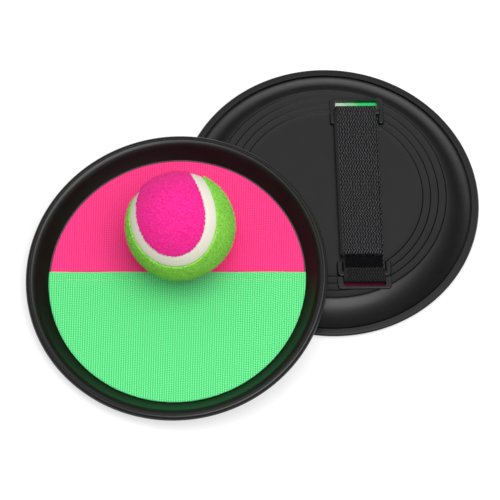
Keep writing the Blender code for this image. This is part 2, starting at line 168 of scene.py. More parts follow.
@dataclass(frozen=True)
class LoopFabric:
    """Brushed warp knit whose loops stand in columns, fluorescent dyed, so it is matt and finely ribbed."""

    name: str
    colour: str
    deep: str
    # backing colour of the underside seen through the slots: darkened as painted shade on the pink half, the backing's
    # own green on the green half
    backing_and_shade: str
    # pale colour toward low x on the underside: a painted glare on the green half, a slightly paler painted shade on
    # the pink half
    pale_glare: str
    column: float = 1.4
    stitch: float = 1.5
    depth: float = 0.16
    wander: float = 3.0
    wander_share: float = 0.35
    chevron: float = 0.32
    fuzz: float = 0.5
    fuzz_share: float = 0.9
    shaded: tuple[float, float] = (0.35, 1.25)
    # span of x, in mm of the chart, over which the painted glare pales the underside
    glare_span: tuple[float, float] = (21.0, 6.0)
    relief: float = 0.8
    roughness: float = 0.95
    specular: float = 0.1

    def material(self) -> bpy.types.Material:
        """Make the material, with columns of small chevrons that follow the cloth's own chart.

        The real loops are finer, so the columns are drawn as coarse as they need to show. The underside,
        where the tint is 1, is the backing: darkened as painted shade on the pink half, and paling toward low x
        in a painted glare.

        Returns:
            The material.
        """
        made, tree, shader = new_material(self.name)
        chart = node(tree, "ShaderNodeUVMap", uv_map="chart")
        flat = node(tree, "ShaderNodeSeparateXYZ", {0: chart.outputs["UV"]})
        wobble = node(tree, "ShaderNodeTexNoise", {"Vector": chart.outputs["UV"], "Scale": 1 / (self.wander * MM),
                                                   "Detail": 2.0})
        across = node(tree, "ShaderNodeMath", {0: flat.outputs["X"], 1: 1 / (self.column * MM)}, operation="MULTIPLY")
        drift = node(tree, "ShaderNodeMath", {0: wobble.outputs["Fac"], 1: self.wander_share,
                                              2: across.outputs[0]}, operation="MULTIPLY_ADD")
        fold = node(tree, "ShaderNodeMath", {0: drift.outputs[0], 1: 0.5}, operation="PINGPONG")
        slant = node(tree, "ShaderNodeMath", {0: flat.outputs["Y"], 1: 1 / (self.stitch * MM), 2: fold.outputs[0]},
                     operation="MULTIPLY_ADD")
        column = node(tree, "ShaderNodeMath", {0: drift.outputs[0]}, operation="FLOOR")
        start = node(tree, "ShaderNodeTexWhiteNoise", {"W": column.outputs[0]}, noise_dimensions="1D")
        shifted = node(tree, "ShaderNodeMath", {0: slant.outputs[0], 1: start.outputs["Value"]}, operation="ADD")
        turn = node(tree, "ShaderNodeMath", {0: shifted.outputs[0], 1: math.tau}, operation="MULTIPLY")
        wave = node(tree, "ShaderNodeMath", {0: turn.outputs[0]}, operation="SINE")
        rib = node(tree, "ShaderNodeMath", {0: fold.outputs[0], 1: 2.0}, operation="MULTIPLY")
        knit = node(tree, "ShaderNodeMath", {0: wave.outputs[0], 1: self.chevron, 2: rib.outputs[0]},
                    operation="MULTIPLY_ADD")
        fuzz = node(tree, "ShaderNodeTexNoise", {"Vector": chart.outputs["UV"], "Scale": 1 / (self.fuzz * MM),
                                                 "Detail": 3.0})
        pile = node(tree, "ShaderNodeMath", {0: fuzz.outputs["Fac"], 1: self.fuzz_share, 2: knit.outputs[0]},
                    operation="MULTIPLY_ADD")
        shade = node(tree, "ShaderNodeMapRange", {"Value": pile.outputs[0], "From Min": self.shaded[0],
                                                  "From Max": self.shaded[1]}, clamp=True)
        face = node(tree, "ShaderNodeMix", {0: shade.outputs["Result"], 6: linear(self.deep), 7: linear(self.colour)},
                    data_type="RGBA")
        # painted glare: the underside's colour pales toward low x
        glare = node(tree, "ShaderNodeMapRange", {"Value": flat.outputs["X"], "From Min": self.glare_span[0] * MM,
                                                 "From Max": self.glare_span[1] * MM}, clamp=True)
        back = node(tree, "ShaderNodeMix", {0: glare.outputs["Result"], 6: linear(self.backing_and_shade),
                                            7: linear(self.pale_glare)}, data_type="RGBA")
        under = node(tree, "ShaderNodeAttribute", attribute_name="tint")
        tint = node(tree, "ShaderNodeMix", {0: under.outputs["Fac"], 6: face.outputs[2], 7: back.outputs[2]},
                    data_type="RGBA")
        bump = node(tree, "ShaderNodeBump", {"Height": pile.outputs[0], "Strength": self.relief,
                                             "Distance": self.depth * MM})
        shader.inputs["Roughness"].default_value = self.roughness
        shader.inputs["Specular IOR Level"].default_value = self.specular
        tree.links.new(tint.outputs[2], shader.inputs["Base Color"])
        tree.links.new(bump.outputs["Normal"], shader.inputs["Normal"])
        return made


@dataclass(frozen=True)
class WovenWebbing:
    """Black polyester webbing in a herringbone weave, so steep grey strokes zigzag along it beside a plain edge."""

    colour: str = "030304"
    plain: str = "161618"
    crest: str = "7C7C80"
    pick: float = 1.63
    zigzag: float = 1.8
    steepness: float = 0.62
    weft: float = 0.97
    selvedge: float = 1.9
    width: float = 25.4
    height: float = 0.22
    wander: float = 2.0
    wander_reach: float = 1.3
    weft_share: float = 0.6
    selvedge_blend: float = 0.3
    fuzz: float = 0.35
    fuzz_share: float = 0.8
    lit: tuple[float, float] = (0.1, 1.4)
    # share by which the strokes fade on the webbing round the sewn end's crossbar, which darkens it there
    bar_fade: float = 0.75
    relief: float = 0.9
    roughness: float = 0.75
    specular: float = 0.3

    def material(self) -> bpy.types.Material:
        """Make the material, with strokes drawn on the strap's own chart.

        The real threads are finer, so the strokes are drawn as coarse as they need to show. They fade where
        the tint is 1, on the webbing round the sewn end's crossbar, which leaves it darker there.

        Returns:
            The material.
        """
        made, tree, shader = new_material("herringbone polyester webbing")
        chart = node(tree, "ShaderNodeUVMap", uv_map="chart")
        flat = node(tree, "ShaderNodeSeparateXYZ", {0: chart.outputs["UV"]})
        wobble = node(tree, "ShaderNodeTexNoise", {"Vector": chart.outputs["UV"], "Scale": 1 / (self.wander * MM),
                                                   "Detail": 2.0})
        fold = node(tree, "ShaderNodeMath", {0: flat.outputs["Y"], 1: self.zigzag * MM}, operation="PINGPONG")
        slant = node(tree, "ShaderNodeMath", {0: fold.outputs[0], 1: self.steepness, 2: flat.outputs["X"]},
                     operation="MULTIPLY_ADD")
        drift = node(tree, "ShaderNodeMath", {0: wobble.outputs["Fac"], 1: self.wander_reach * MM, 2: slant.outputs[0]},
                     operation="MULTIPLY_ADD")
        phase = node(tree, "ShaderNodeMath", {0: drift.outputs[0], 1: math.tau / (self.pick * MM)},
                     operation="MULTIPLY")
        stroke = node(tree, "ShaderNodeMath", {0: phase.outputs[0]}, operation="SINE")
        thread_turn = node(tree, "ShaderNodeMath", {0: flat.outputs["Y"], 1: math.tau / (self.weft * MM)},
                           operation="MULTIPLY")
        thread = node(tree, "ShaderNodeMath", {0: thread_turn.outputs[0]}, operation="COSINE")
        weave = node(tree, "ShaderNodeMath", {0: thread.outputs[0], 1: self.weft_share, 2: stroke.outputs[0]},
                     operation="MULTIPLY_ADD")
        body_edge = self.selvedge - self.width / 2
        body = node(tree, "ShaderNodeMapRange", {"Value": flat.outputs["X"],
                                                 "From Min": (body_edge - self.selvedge_blend) * MM,
                                                 "From Max": (body_edge + self.selvedge_blend) * MM}, clamp=True)
        fuzz = node(tree, "ShaderNodeTexNoise", {"Vector": chart.outputs["UV"], "Scale": 1 / (self.fuzz * MM),
                                                 "Detail": 3.0})
        lit = node(tree, "ShaderNodeMapRange", {"Value": weave.outputs[0], "From Min": self.lit[0],
                                                "From Max": self.lit[1]}, clamp=True)
        bar_fade = node(tree, "ShaderNodeAttribute", attribute_name="tint")
        unfaded = node(tree, "ShaderNodeMath", {0: bar_fade.outputs["Fac"], 1: -self.bar_fade, 2: 1.0},
                     operation="MULTIPLY_ADD")
        showing = node(tree, "ShaderNodeMath", {0: lit.outputs["Result"], 1: unfaded.outputs[0]}, operation="MULTIPLY")
        frayed = node(tree, "ShaderNodeMath", {0: showing.outputs[0], 1: fuzz.outputs["Fac"]},
                      operation="MULTIPLY")
        drawn = node(tree, "ShaderNodeMix", {0: frayed.outputs[0], 6: linear(self.colour), 7: linear(self.crest)},
                     data_type="RGBA")
        tint = node(tree, "ShaderNodeMix", {0: body.outputs["Result"], 6: linear(self.plain), 7: drawn.outputs[2]},
                    data_type="RGBA")
        relief = node(tree, "ShaderNodeMath", {0: weave.outputs[0], 1: body.outputs["Result"]}, operation="MULTIPLY")
        pile = node(tree, "ShaderNodeMath", {0: fuzz.outputs["Fac"], 1: self.fuzz_share, 2: relief.outputs[0]},
                    operation="MULTIPLY_ADD")
        bump = node(tree, "ShaderNodeBump", {"Height": pile.outputs[0], "Strength": self.relief,
                                             "Distance": self.height * MM})
        shader.inputs["Roughness"].default_value = self.roughness
        shader.inputs["Specular IOR Level"].default_value = self.specular
        tree.links.new(tint.outputs[2], shader.inputs["Base Color"])
        tree.links.new(bump.outputs["Normal"], shader.inputs["Normal"])
        return made


@dataclass(frozen=True)
class PlushCloth:
    """Cloth with a short pile, such as the ball's needled felt or a fastener tape's loops: matt and speckled."""

    name: str
    colour: str
    deep: str
    tuft: float = 1.1
    fleck: float = 0.3
    fleck_share: float = 0.5
    shaded: tuple[float, float] = (0.5, 1.0)
    height: float = 0.35
    relief: float = 0.7
    sheen: float = 0.0
    roughness: float = 1.0
    specular: float = 0.05

    def material(self) -> bpy.types.Material:
        """Make the material, with tufts and flecks read from object coordinates and each fibre's own tint.

        Returns:
            The material.
        """
        made, tree, shader = new_material(self.name)
        place = node(tree, "ShaderNodeTexCoord")
        tuft = node(tree, "ShaderNodeTexNoise", {"Vector": place.outputs["Object"], "Scale": 1 / (self.tuft * MM),
                                                 "Detail": 4.0, "Roughness": 0.7})
        fleck = node(tree, "ShaderNodeTexNoise", {"Vector": place.outputs["Object"], "Scale": 1 / (self.fleck * MM),
                                                  "Detail": 2.0})
        both = node(tree, "ShaderNodeMath", {0: fleck.outputs["Fac"], 1: self.fleck_share, 2: tuft.outputs["Fac"]},
                    operation="MULTIPLY_ADD")
        own = node(tree, "ShaderNodeAttribute", attribute_name="tint")
        varied = node(tree, "ShaderNodeMath", {0: both.outputs[0], 1: own.outputs["Fac"]}, operation="ADD")
        shade = node(tree, "ShaderNodeMapRange", {"Value": varied.outputs[0], "From Min": self.shaded[0],
                                                  "From Max": self.shaded[1]}, clamp=True)
        tint = node(tree, "ShaderNodeMix", {0: shade.outputs["Result"], 6: linear(self.deep), 7: linear(self.colour)},
                    data_type="RGBA")
        bump = node(tree, "ShaderNodeBump", {"Height": both.outputs[0], "Strength": self.relief,
                                             "Distance": self.height * MM})
        shader.inputs["Roughness"].default_value = self.roughness
        shader.inputs["Specular IOR Level"].default_value = self.specular
        shader.inputs["Sheen Weight"].default_value = self.sheen
        tree.links.new(tint.outputs[2], shader.inputs["Base Color"])
        tree.links.new(bump.outputs["Normal"], shader.inputs["Normal"])
        return made


@dataclass(frozen=True)
class SmoothCord:
    """Plain dyed material with a slight grain: the ball's vulcanised rubber seam or a spun sewing thread."""

    name: str
    colour: str
    soiled: str
    roughness: float = 0.6
    grain: float = 0.8
    grain_height: float = 0.05
    grain_strength: float = 0.3

    def material(self) -> bpy.types.Material:
        """Make the material, with a faint mottle read from object coordinates.

        Returns:
            The material.
        """
        made, tree, shader = new_material(self.name)
        place = node(tree, "ShaderNodeTexCoord")
        grain = node(tree, "ShaderNodeTexNoise", {"Vector": place.outputs["Object"], "Scale": 1 / (self.grain * MM),
                                                  "Detail": 3.0})
        tint = node(tree, "ShaderNodeMix", {0: grain.outputs["Fac"], 6: linear(self.soiled), 7: linear(self.colour)},
                    data_type="RGBA")
        bump = node(tree, "ShaderNodeBump", {"Height": grain.outputs["Fac"], "Strength": self.grain_strength,
                                             "Distance": self.grain_height * MM})
        shader.inputs["Roughness"].default_value = self.roughness
        tree.links.new(tint.outputs[2], shader.inputs["Base Color"])
        tree.links.new(bump.outputs["Normal"], shader.inputs["Normal"])
        return made


@dataclass(frozen=True)
class Placement:
    """Where a sub-assembly's own frame lies in the set: its origin in millimetres and its turn."""

    origin: tuple[float, float, float]
    turn: Matrix

    def put(self, points: np.ndarray) -> np.ndarray:
        """Return points of the own frame in the set's frame, in metres."""
        return (points @ np.array(self.turn.to_3x3()).T + np.array(self.origin)) * MM


@dataclass
class Surface:
    """Mesh in numbers: points, faces, and each point's place on the flat cloth and tint, where it has them."""

    points: np.ndarray
    faces: list[tuple[int, ...]]
    chart: np.ndarray | None = None
    tint: np.ndarray | None = None

    def outward(self) -> "Surface":
        """Turn the faces of a closed surface outward, by the sign of the volume that they enclose.

        Returns:
            The same surface with its faces outward.
        """
        volume = 0.0
        for sides in {len(face) for face in self.faces}:
            corners = self.points[np.array([face for face in self.faces if len(face) == sides])]
            for second in range(1, sides - 1):
                volume += (corners[:, 0] * np.cross(corners[:, second], corners[:, second + 1])).sum()
        if volume < 0:
            self.faces = [tuple(face[::-1]) for face in self.faces]
        return self

    @staticmethod
    def joined(surfaces: list["Surface"]) -> "Surface":
        """Put several surfaces in one mesh, without welding them.

        Args:
            surfaces: Surfaces with the same kinds of values.

        Returns:
            One surface.
        """
        starts = np.cumsum([0] + [len(surface.points) for surface in surfaces])
        faces = [tuple(int(corner + start) for corner in face)
                 for surface, start in zip(surfaces, starts) for face in surface.faces]
        points = np.concatenate([surface.points for surface in surfaces])
        chart, tint = (None if any(getattr(surface, name) is None for surface in surfaces)
                       else np.concatenate([getattr(surface, name) for surface in surfaces])
                       for name in ("chart", "tint"))
        return Surface(points, faces, chart, tint)

    def mesh(self, name: str, placement: Placement, sharp: float | None = 35.0) -> bpy.types.Mesh:
        """Make a Blender mesh of the surface, in its place.

        Args:
            name: Name of the mesh.
            placement: Where the surface's own frame lies.
            sharp: Angle in degrees past which an edge is shaded sharp, or None.

        Returns:
            The mesh, with coinciding points merged.
        """
        made = bpy.data.meshes.new(name)
        made.from_pydata(placement.put(self.points).tolist(), [], self.faces)
        corners = np.empty(len(made.loops), dtype=np.int32)
        made.loops.foreach_get("vertex_index", corners)
        if self.chart is not None:
            layer = made.uv_layers.new(name="chart")
            layer.data.foreach_set("uv", (self.chart[corners] * MM).astype(np.float32).ravel())
        if self.tint is not None:
            made.attributes.new("tint", "FLOAT", "POINT").data.foreach_set("value", self.tint.astype(np.float32))
        welded = bmesh.new()
        welded.from_mesh(made)
        bmesh.ops.remove_doubles(welded, verts=welded.verts, dist=WELD)
        welded.to_mesh(made)
        welded.free()
        made.shade_smooth()
        if sharp is not None:
            made.set_sharp_from_angle(angle=math.radians(sharp))
        return made


def show(name: str, mesh: bpy.types.Mesh, finish: bpy.types.Material, slot: str, *nodes: str) -> bpy.types.Object:
    """Put a finished mesh in the scene as a piece of the set.

    Args:
        name: Name of the piece.
        mesh: Its mesh, already in place.
        finish: Its material.
        slot: The record's material slot; not used.
        nodes: CAD nodes that the piece stands for.

    Returns:
        The piece's object, at the origin.
    """
    mesh.materials.clear()
    mesh.materials.append(finish)
    made = bpy.data.objects.new(name, mesh)
    bpy.context.scene.collection.objects.link(made)
    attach(made, ROOT)
    if nodes:
        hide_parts(*nodes)
    LOG.info("%s: %d faces", name, len(mesh.polygons))
    return made


def grid_faces(rows: int, columns: int, round_rows: bool = False, round_columns: bool = False) -> list[tuple]:
    """Quads between the points of a grid that is counted row by row.

    Args:
        rows: Rows of points.
        columns: Points in a row.
        round_rows: Join the last row to the first.
        round_columns: Join the last point of a row to the first.

    Returns:
        Corner numbers of each quad.
    """
    row = np.arange(rows if round_rows else rows - 1)[:, None]
    column = np.arange(columns if round_columns else columns - 1)[None, :]
    next_row, next_column = (row + 1) % rows, (column + 1) % columns
    quads = np.stack([row * columns + column, row * columns + next_column,
                      next_row * columns + next_column, next_row * columns + column], axis=-1)
    return [tuple(quad) for quad in quads.reshape(-1, 4).tolist()]


def arc(centre: tuple[float, float], radius: float, start: float, end: float, steps: int) -> np.ndarray:
    """Points of an arc: the centre plus the radius times the cosine and sine of the angle.

    Args:
        centre: Middle of the arc.
        radius: Its radius.
        start: First angle in degrees.
        end: Last angle in degrees.
        steps: Number of spans.

    Returns:
        Points, one row each.
    """
    angle = np.radians(np.linspace(start, end, steps + 1))
    return np.stack([centre[0] + radius * np.cos(angle), centre[1] + radius * np.sin(angle)], axis=1)


def turned(profile: np.ndarray, segments: int) -> Surface:
    """Turn a profile round the z axis: x and y are its radius times the cosine and sine of the angle.

    Args:
        profile: Radius and height of each point.
        segments: Steps of the turn.

    Returns:
        The closed surface.
    """
    angle = np.linspace(0.0, math.tau, segments, endpoint=False)
    radius, height = profile[:, :1], profile[:, 1:]
    points = np.stack([radius * np.cos(angle), radius * np.sin(angle),
                       np.broadcast_to(height, (len(profile), segments))], axis=-1)
    return Surface(points.reshape(-1, 3), grid_faces(len(profile), segments, round_columns=True)).outward()


def layered(outlines: list[np.ndarray], heights: list[float]) -> Surface:
    """Loft a closed body through outlines that lie one over another, its first and last capped.

    Args:
        outlines: Outlines with the same number of points, bottom to top.
        heights: Height of each outline.

    Returns:
        The closed surface, charted by its x and y.
    """
    count = len(outlines[0])
    points = np.concatenate([np.column_stack([outline, np.full(count, height)])
                             for outline, height in zip(outlines, heights)])
    faces = grid_faces(len(outlines), count, round_columns=True)
    last = (len(outlines) - 1) * count
    faces += [tuple(range(count))[::-1], tuple(range(last, last + count))]
    return Surface(points, faces, points[:, :2].copy()).outward()


def plate_outline(low: tuple[float, float], high: tuple[float, float], corners: tuple[float, ...],
                  inset: float, steps: int = 6) -> np.ndarray:
    """Outline of a plate whose four corners are arcs, moved inward by an inset.

    Args:
        low: Lowest x and y.
        high: Highest x and y.
        corners: Radius of the corners, counted from high x and high y against the clock.
        inset: How far the outline moves inward.
        steps: Spans of each arc.

    Returns:
        Points against the clock.
    """
    sides = ((high[0], high[1], 0.0), (low[0], high[1], 90.0), (low[0], low[1], 180.0), (high[0], low[1], 270.0))
    parts = []
    for (x, y, start), corner in zip(sides, corners):
        toward_x = 1.0 if x == high[0] else -1.0
        toward_y = 1.0 if y == high[1] else -1.0
        radius = max(corner - inset, 0.02)
        centre = (x - toward_x * (inset + radius), y - toward_y * (inset + radius))
        parts.append(arc(centre, radius, start, start + 90.0, steps))
    return np.concatenate(parts)


def soft_plate(low: tuple[float, float, float], high: tuple[float, float, float], corners: tuple[float, ...],
               edge: float, steps: int = 5) -> Surface:
    """Plate with rounded corners whose lower face, the outer one, has a rounded edge.

    The inset and the height of each outline follow a quarter circle of the edge's radius.

    Args:
        low: Lowest corner.
        high: Highest corner.
        corners: Radius of each upright corner.
        edge: Radius of the outer face's edge.
        steps: Spans of the edge.

    Returns:
        The closed surface.
    """
    turn = np.linspace(0.0, math.pi / 2, steps + 1)
    insets = edge * (1.0 - np.sin(turn))
    heights = low[2] + edge * (1.0 - np.cos(turn))
    levels = [(edge * 1.15, low[2])] + list(zip(insets, heights)) + [(0.0, high[2])]
    outlines = [plate_outline(low[:2], high[:2], corners, inset) for inset, _ in levels]
    return layered(outlines, [height for _, height in levels])


def strip(route: np.ndarray, width: float, thickness: float, spans: int = 12, edge_steps: int = 4) -> Surface:
    """Carry a strip's section, flat with half-round edges, along a route of (x, y, outward height).

    Each point is the route's point, plus its way across along x, plus its height along the route's normal,
    which is the tangent turned by a quarter in the plane of y and height.

    Args:
        route: Middle line of the strip.
        width: Width of the strip along x.
        thickness: Thickness of the strip.
        spans: Spans across each face.
        edge_steps: Spans round each edge.

    Returns:
        The closed surface, charted by its way across and its length along the route.
    """
    half, round_edge = width / 2 - thickness / 2, thickness / 2
    top = np.column_stack([np.linspace(-half, half, spans + 1), np.full(spans + 1, round_edge)])
    section = np.concatenate([top[:-1], arc((half, 0.0), round_edge, 90.0, -90.0, edge_steps)[:-1],
                              top[:0:-1] * (1, -1), arc((-half, 0.0), round_edge, -90.0, -270.0, edge_steps)[:-1]])
    tangent = np.gradient(route, axis=0)[:, 1:]
    tangent /= np.linalg.norm(tangent, axis=1)[:, None]
    normal = np.column_stack([np.zeros(len(route)), -tangent[:, 1], tangent[:, 0]])
    length = np.concatenate([[0.0], np.cumsum(np.linalg.norm(np.diff(route, axis=0), axis=1))])
    points = (route[:, None, :] + section[None, :, :1] * np.array([1.0, 0.0, 0.0])
              + section[None, :, 1:] * normal[:, None, :])
    points[..., 2] *= -1
    chart = np.stack(np.broadcast_arrays(section[None, :, 0], length[:, None]), axis=-1)
    count = len(section)
    faces = grid_faces(len(route), count, round_columns=True)
    last = (len(route) - 1) * count
    faces += [tuple(range(count))[::-1], tuple(range(last, last + count))]
    return Surface(points.reshape(-1, 3), faces, chart.reshape(-1, 2)).outward()


def softened(route: list[tuple[float, float, float]], spacing: float = 0.4, reach: float = 0.7) -> np.ndarray:
    """Space a route evenly and round its corners by averaging it with a bell-shaped weight.

    Args:
        route: Corner points.
        spacing: Distance between the new points.
        reach: Width of the weight.

    Returns:
        The smooth route, with the same ends.
    """
    corners = np.array(route, dtype=float)
    length = np.concatenate([[0.0], np.cumsum(np.linalg.norm(np.diff(corners, axis=0), axis=1))])
    places = np.linspace(0.0, length[-1], int(length[-1] / spacing) + 1)
    line = np.stack([np.interp(places, length, corners[:, axis]) for axis in range(3)], axis=1)
    steps = int(3 * reach / spacing) + 1
    weight = np.exp(-0.5 * (np.arange(-steps, steps + 1) * spacing / reach) ** 2)
    weight /= weight.sum()
    before = 2 * line[0] - line[steps:0:-1]
    after = 2 * line[-1] - line[-2:-steps - 2:-1]
    padded = np.concatenate([before, line, after])
    return np.stack([np.convolve(padded[:, axis], weight, mode="valid") for axis in range(3)], axis=1)


def fibres(roots: np.ndarray, normals: np.ndarray, length: float, width: float, lean: float,
           chance: np.random.Generator) -> Surface:
    """Grow short bent fibres, each a kite of two triangles that tapers to both ends.

    A fibre's way is the normal plus a random lean. Its middle lies halfway along it, and its tip is bent
    away by a second, weaker lean.

    Args:
        roots: Where the fibres start.
        normals: Unit normal at each root.
        length: Mean length.
        width: Width at the middle.
        lean: How far they lean, 0 for upright.
        chance: Source of the random numbers.

    Returns:
        The surface of all fibres, each with a tint from -0.2 to 0.2.
    """
    count = len(roots)
    way = normals + lean * chance.normal(size=(count, 3))
    way /= np.linalg.norm(way, axis=1)[:, None]
    bend = normals + 1.3 * lean * chance.normal(size=(count, 3))
    bend /= np.linalg.norm(bend, axis=1)[:, None]
    side = np.cross(way, chance.normal(size=(count, 3)))
    side *= width / 2 / np.linalg.norm(side, axis=1)[:, None]
    reach = length * chance.uniform(0.5, 1.4, size=(count, 1))
    middle = roots + way * reach / 2
    points = np.stack([roots, middle - side, middle + side, middle + bend * reach / 2], axis=1).reshape(-1, 3)
    first = 4 * np.arange(count)[:, None]
    faces = np.concatenate([first + (0, 1, 2), first + (2, 1, 3)])
    tint = np.repeat(chance.uniform(-0.2, 0.2, size=count), 4)
    return Surface(points, [tuple(face) for face in faces.tolist()], tint=tint)


def stitch_row(places: np.ndarray, ways: np.ndarray, ups: np.ndarray, length: float, width: float) -> Surface:
    """Lay a row of stitches, each a small half-sunk spindle that arches over the cloth.

    Along a stitch the width follows the root of a sine, and round it the section is an ellipse.

    Args:
        places: Middle of each stitch.
        ways: Unit direction of each stitch.
        ups: Unit direction away from the cloth.
        length: Length of a stitch.
        width: Its width.

    Returns:
        The surface of all stitches.
    """
    sides_round = rings = 6
    share = np.linspace(0.0, 1.0, rings)
    angle = np.linspace(0.0, math.tau, sides_round, endpoint=False)
    thin = np.sqrt(np.sin(math.pi * share).clip(0.0, None)) * width / 2
    along = (share - 0.5) * length
    rise = 0.35 * width * np.sin(math.pi * share)
    sides = np.cross(ways, ups)
    grid = (places[:, None, None, :] + ways[:, None, None, :] * along[None, :, None, None]
            + sides[:, None, None, :] * (thin[:, None] * np.cos(angle))[None, :, :, None]
            + ups[:, None, None, :] * (rise[:, None] + thin[:, None] * np.sin(angle))[None, :, :, None])
    single = np.array(grid_faces(rings, sides_round, round_columns=True))
    faces = (single[None] + rings * sides_round * np.arange(len(places))[:, None, None]).reshape(-1, 4)
    return Surface(grid.reshape(-1, 3), [tuple(face[::-1]) for face in faces.tolist()])


def cord(path: np.ndarray, radius: float, sides: int = 8) -> Surface:
    """Carry a circle along a path, square to it.

    Each point is the path's point plus the radius times the cosine along the sideways way and the sine
    along z, where the sideways way is square to the path and to z.

    Args:
        path: Points of the path, which stays nearly level.
        radius: Radius of the circle.
        sides: Points round it.

    Returns:
        The closed surface.
    """
    tangent = np.gradient(path, axis=0)
    side = np.cross(tangent, (0.0, 0.0, 1.0))
    side /= np.linalg.norm(side, axis=1)[:, None]
    angle = np.linspace(0.0, math.tau, sides, endpoint=False)
    points = (path[:, None, :] + side[:, None, :] * (radius * np.cos(angle))[None, :, None]
              + np.array([0.0, 0.0, 1.0]) * (radius * np.sin(angle))[None, :, None])
    faces = grid_faces(len(path), sides, round_columns=True)
    last = (len(path) - 1) * sides
    faces += [tuple(range(sides))[::-1], tuple(range(last, last + sides))]
    return Surface(points.reshape(-1, 3), faces).outward()


@dataclass
class Shell:
    """Moulded dish of a paddle: a flat back with fine rings, a curved shoulder, a rim, and two strap anchors."""

    radius: float = 91.5
    depth: float = 13.8
    wall: float = 2.3
    rim_width: float = 5.0
    rim_top: float = 13.3
    rim_thickness: float = 3.4
    rim_fall: float = 2.5
    rim_lean: float = 0.4
    rim_edge: float = 0.45
    bead_setback: float = 2.6
    bead_width: float = 0.95
    groove_width: float = 0.7
    groove_depth: float = 1.0
    shoulder_width: float = 15.4
    shoulder_curve: float = 1.65
    face_setback: float = 6.0
    ring_count: int = 4
    ring_pitch: float = 4.75
    ring_width: float = 0.7
    ring_gap: float = 0.1
    ring_depth: float = 0.4
    ring_rise: float = 0.14
    strap_axis: float = 18.3
    slot_half: float = 13.0
    slot_inner: float = 46.5
    slot_outer: float = 63.9
    slot_corner: float = 1.5
    anchor_end: float = 65.4
    border_length: float = 9.4
    border_height: float = 1.0
    border_root: float = 0.6
    border_corner: float = 2.5
    border_edge: float = 0.4
    rail_width: float = 3.5
    rail_from: float = 47.0
    rail_to: float = 57.4
    rail_height: float = 2.5
    rail_gap: float = 0.1
    rail_corners: tuple[float, float, float, float] = (2.9, 0.45, 1.3, 1.6)
    rail_edge: float = 0.8
    bar_width: float = 4.0
    bar_edge: float = 1.15
    bar_sink: float = 0.05
    cutter_reach: float = 8.0
    cutter_edge: float = 0.01
    segments: int = 256

    @property
    def shoulder_height(self) -> float:
        """Height of the shoulder's top, under the rim."""
        return self.rim_top - self.rim_thickness

    @property
    def flat_radius(self) -> float:
        """Radius of the back's flat."""
        return self.radius - self.rim_width - self.shoulder_width

    def shoulder(self, share: np.ndarray, offset: float = 0.0) -> np.ndarray:
        """Points of the shoulder: its height is a power of the way outward, moved inward along the normal.

        Args:
            share: Way outward, from 0 at the flat to 1 at the rim.
            offset: Distance inward from the back's surface.

        Returns:
            Radius and height of each point.
        """
        slope = self.shoulder_height * self.shoulder_curve * share ** (self.shoulder_curve - 1)
        length = np.hypot(self.shoulder_width, slope)
        return np.column_stack([self.flat_radius + self.shoulder_width * share - offset * slope / length,
                                self.shoulder_height * share ** self.shoulder_curve
                                + offset * self.shoulder_width / length])

    def profile(self) -> np.ndarray:
        """Radius and height round half the shell, from the middle of its face over the rim to its back.

        Returns:
            The points, closely spaced.
        """
        share = np.linspace(0.0, 1.0, 25)
        face = np.concatenate([[(0.0, self.wall), (self.flat_radius - self.face_setback, self.wall)],
                               self.shoulder(share, self.wall)])
        bead_radius = self.radius - self.bead_setback
        across = np.linspace(-1.0, 1.0, 13)
        bead = np.column_stack([bead_radius + across * self.bead_width / 2,
                                self.rim_top + (self.depth - self.rim_top) * (1.0 - across ** 2)])
        rise = np.linspace(0.0, 1.0, 9)[1:-1]
        lip = np.column_stack([face[-1, 0] + (bead[0, 0] - face[-1, 0]) * rise,
                               face[-1, 1] + (self.rim_top - face[-1, 1]) * np.sin(rise * math.pi / 2)])
        waist = self.rim_top - self.rim_fall
        turn = np.linspace(0.0, math.pi / 2, 10)[1:]
        start = bead[-1, 0]
        roll = np.column_stack([start + (self.radius - start) * np.sin(turn),
                                waist + (self.rim_top - waist) * np.cos(turn)])
        inset = self.radius - self.rim_lean
        edge = arc((inset - self.rim_edge, self.shoulder_height + self.rim_edge), self.rim_edge, -20.0, -90.0, 5)
        roll = np.concatenate([roll, edge])
        groove_at = self.radius - self.rim_width + self.groove_width / 2
        groove = np.column_stack([groove_at - across[::2] * self.groove_width / 2,
                                  self.shoulder_height + self.groove_depth * (1.0 - across[::2] ** 4)])
        back = self.shoulder(share)[-2:0:-1]
        rings = [self.ring(index) for index in range(self.ring_count)]
        return np.concatenate([face, lip, bead, roll, groove, back, *rings, [(0.0, 0.0)]])

    def ring(self, index: int) -> np.ndarray:
        """One ring of the back, from its outside in: a fine groove, then a band that sinks back to the flat.

        The groove is a squared sine, and the band's height falls with the square of the way left.

        Args:
            index: Count from the outermost ring.

        Returns:
            Radius and height of its points.
        """
        outside = self.flat_radius - index * self.ring_pitch
        across = np.linspace(0.0, 1.0, 9)
        band = np.linspace(0.0, 1.0, 8)[1:]
        groove = np.column_stack([outside - across * self.ring_width,
                                  self.ring_depth * np.sin(math.pi * across) ** 2 - self.ring_rise * across])
        inner = outside - self.ring_width - band * (self.ring_pitch - self.ring_width - self.ring_gap)
        return np.concatenate([groove, np.column_stack([inner, -self.ring_rise * (1.0 - band) ** 2])])

    def crossbar(self, side: int) -> Surface:
        """Round-edged bar between an anchor's rails, which the webbing wraps.

        Args:
            side: 1 for the sewn end, -1 for the free turn.

        Returns:
            The closed surface, a section carried along x.
        """
        half_width, half_height = self.bar_width / 2, self.rail_height / 2
        section = plate_outline((-half_width, -half_height), (half_width, half_height), (self.bar_edge,) * 4, 0.0)
        ends = np.array([-1.0, 1.0]) * (self.slot_half + self.rail_width / 2)
        middle = (side * (self.rail_to - half_width), -half_height + self.bar_sink)
        points = np.stack([np.column_stack([np.full(len(section), self.strap_axis + end), section + middle])
                           for end in ends]).reshape(-1, 3)
        count = len(section)
        faces = grid_faces(2, count, round_columns=True)
        faces += [tuple(range(count))[::-1], tuple(range(count, 2 * count))]
        return Surface(points, faces).outward()

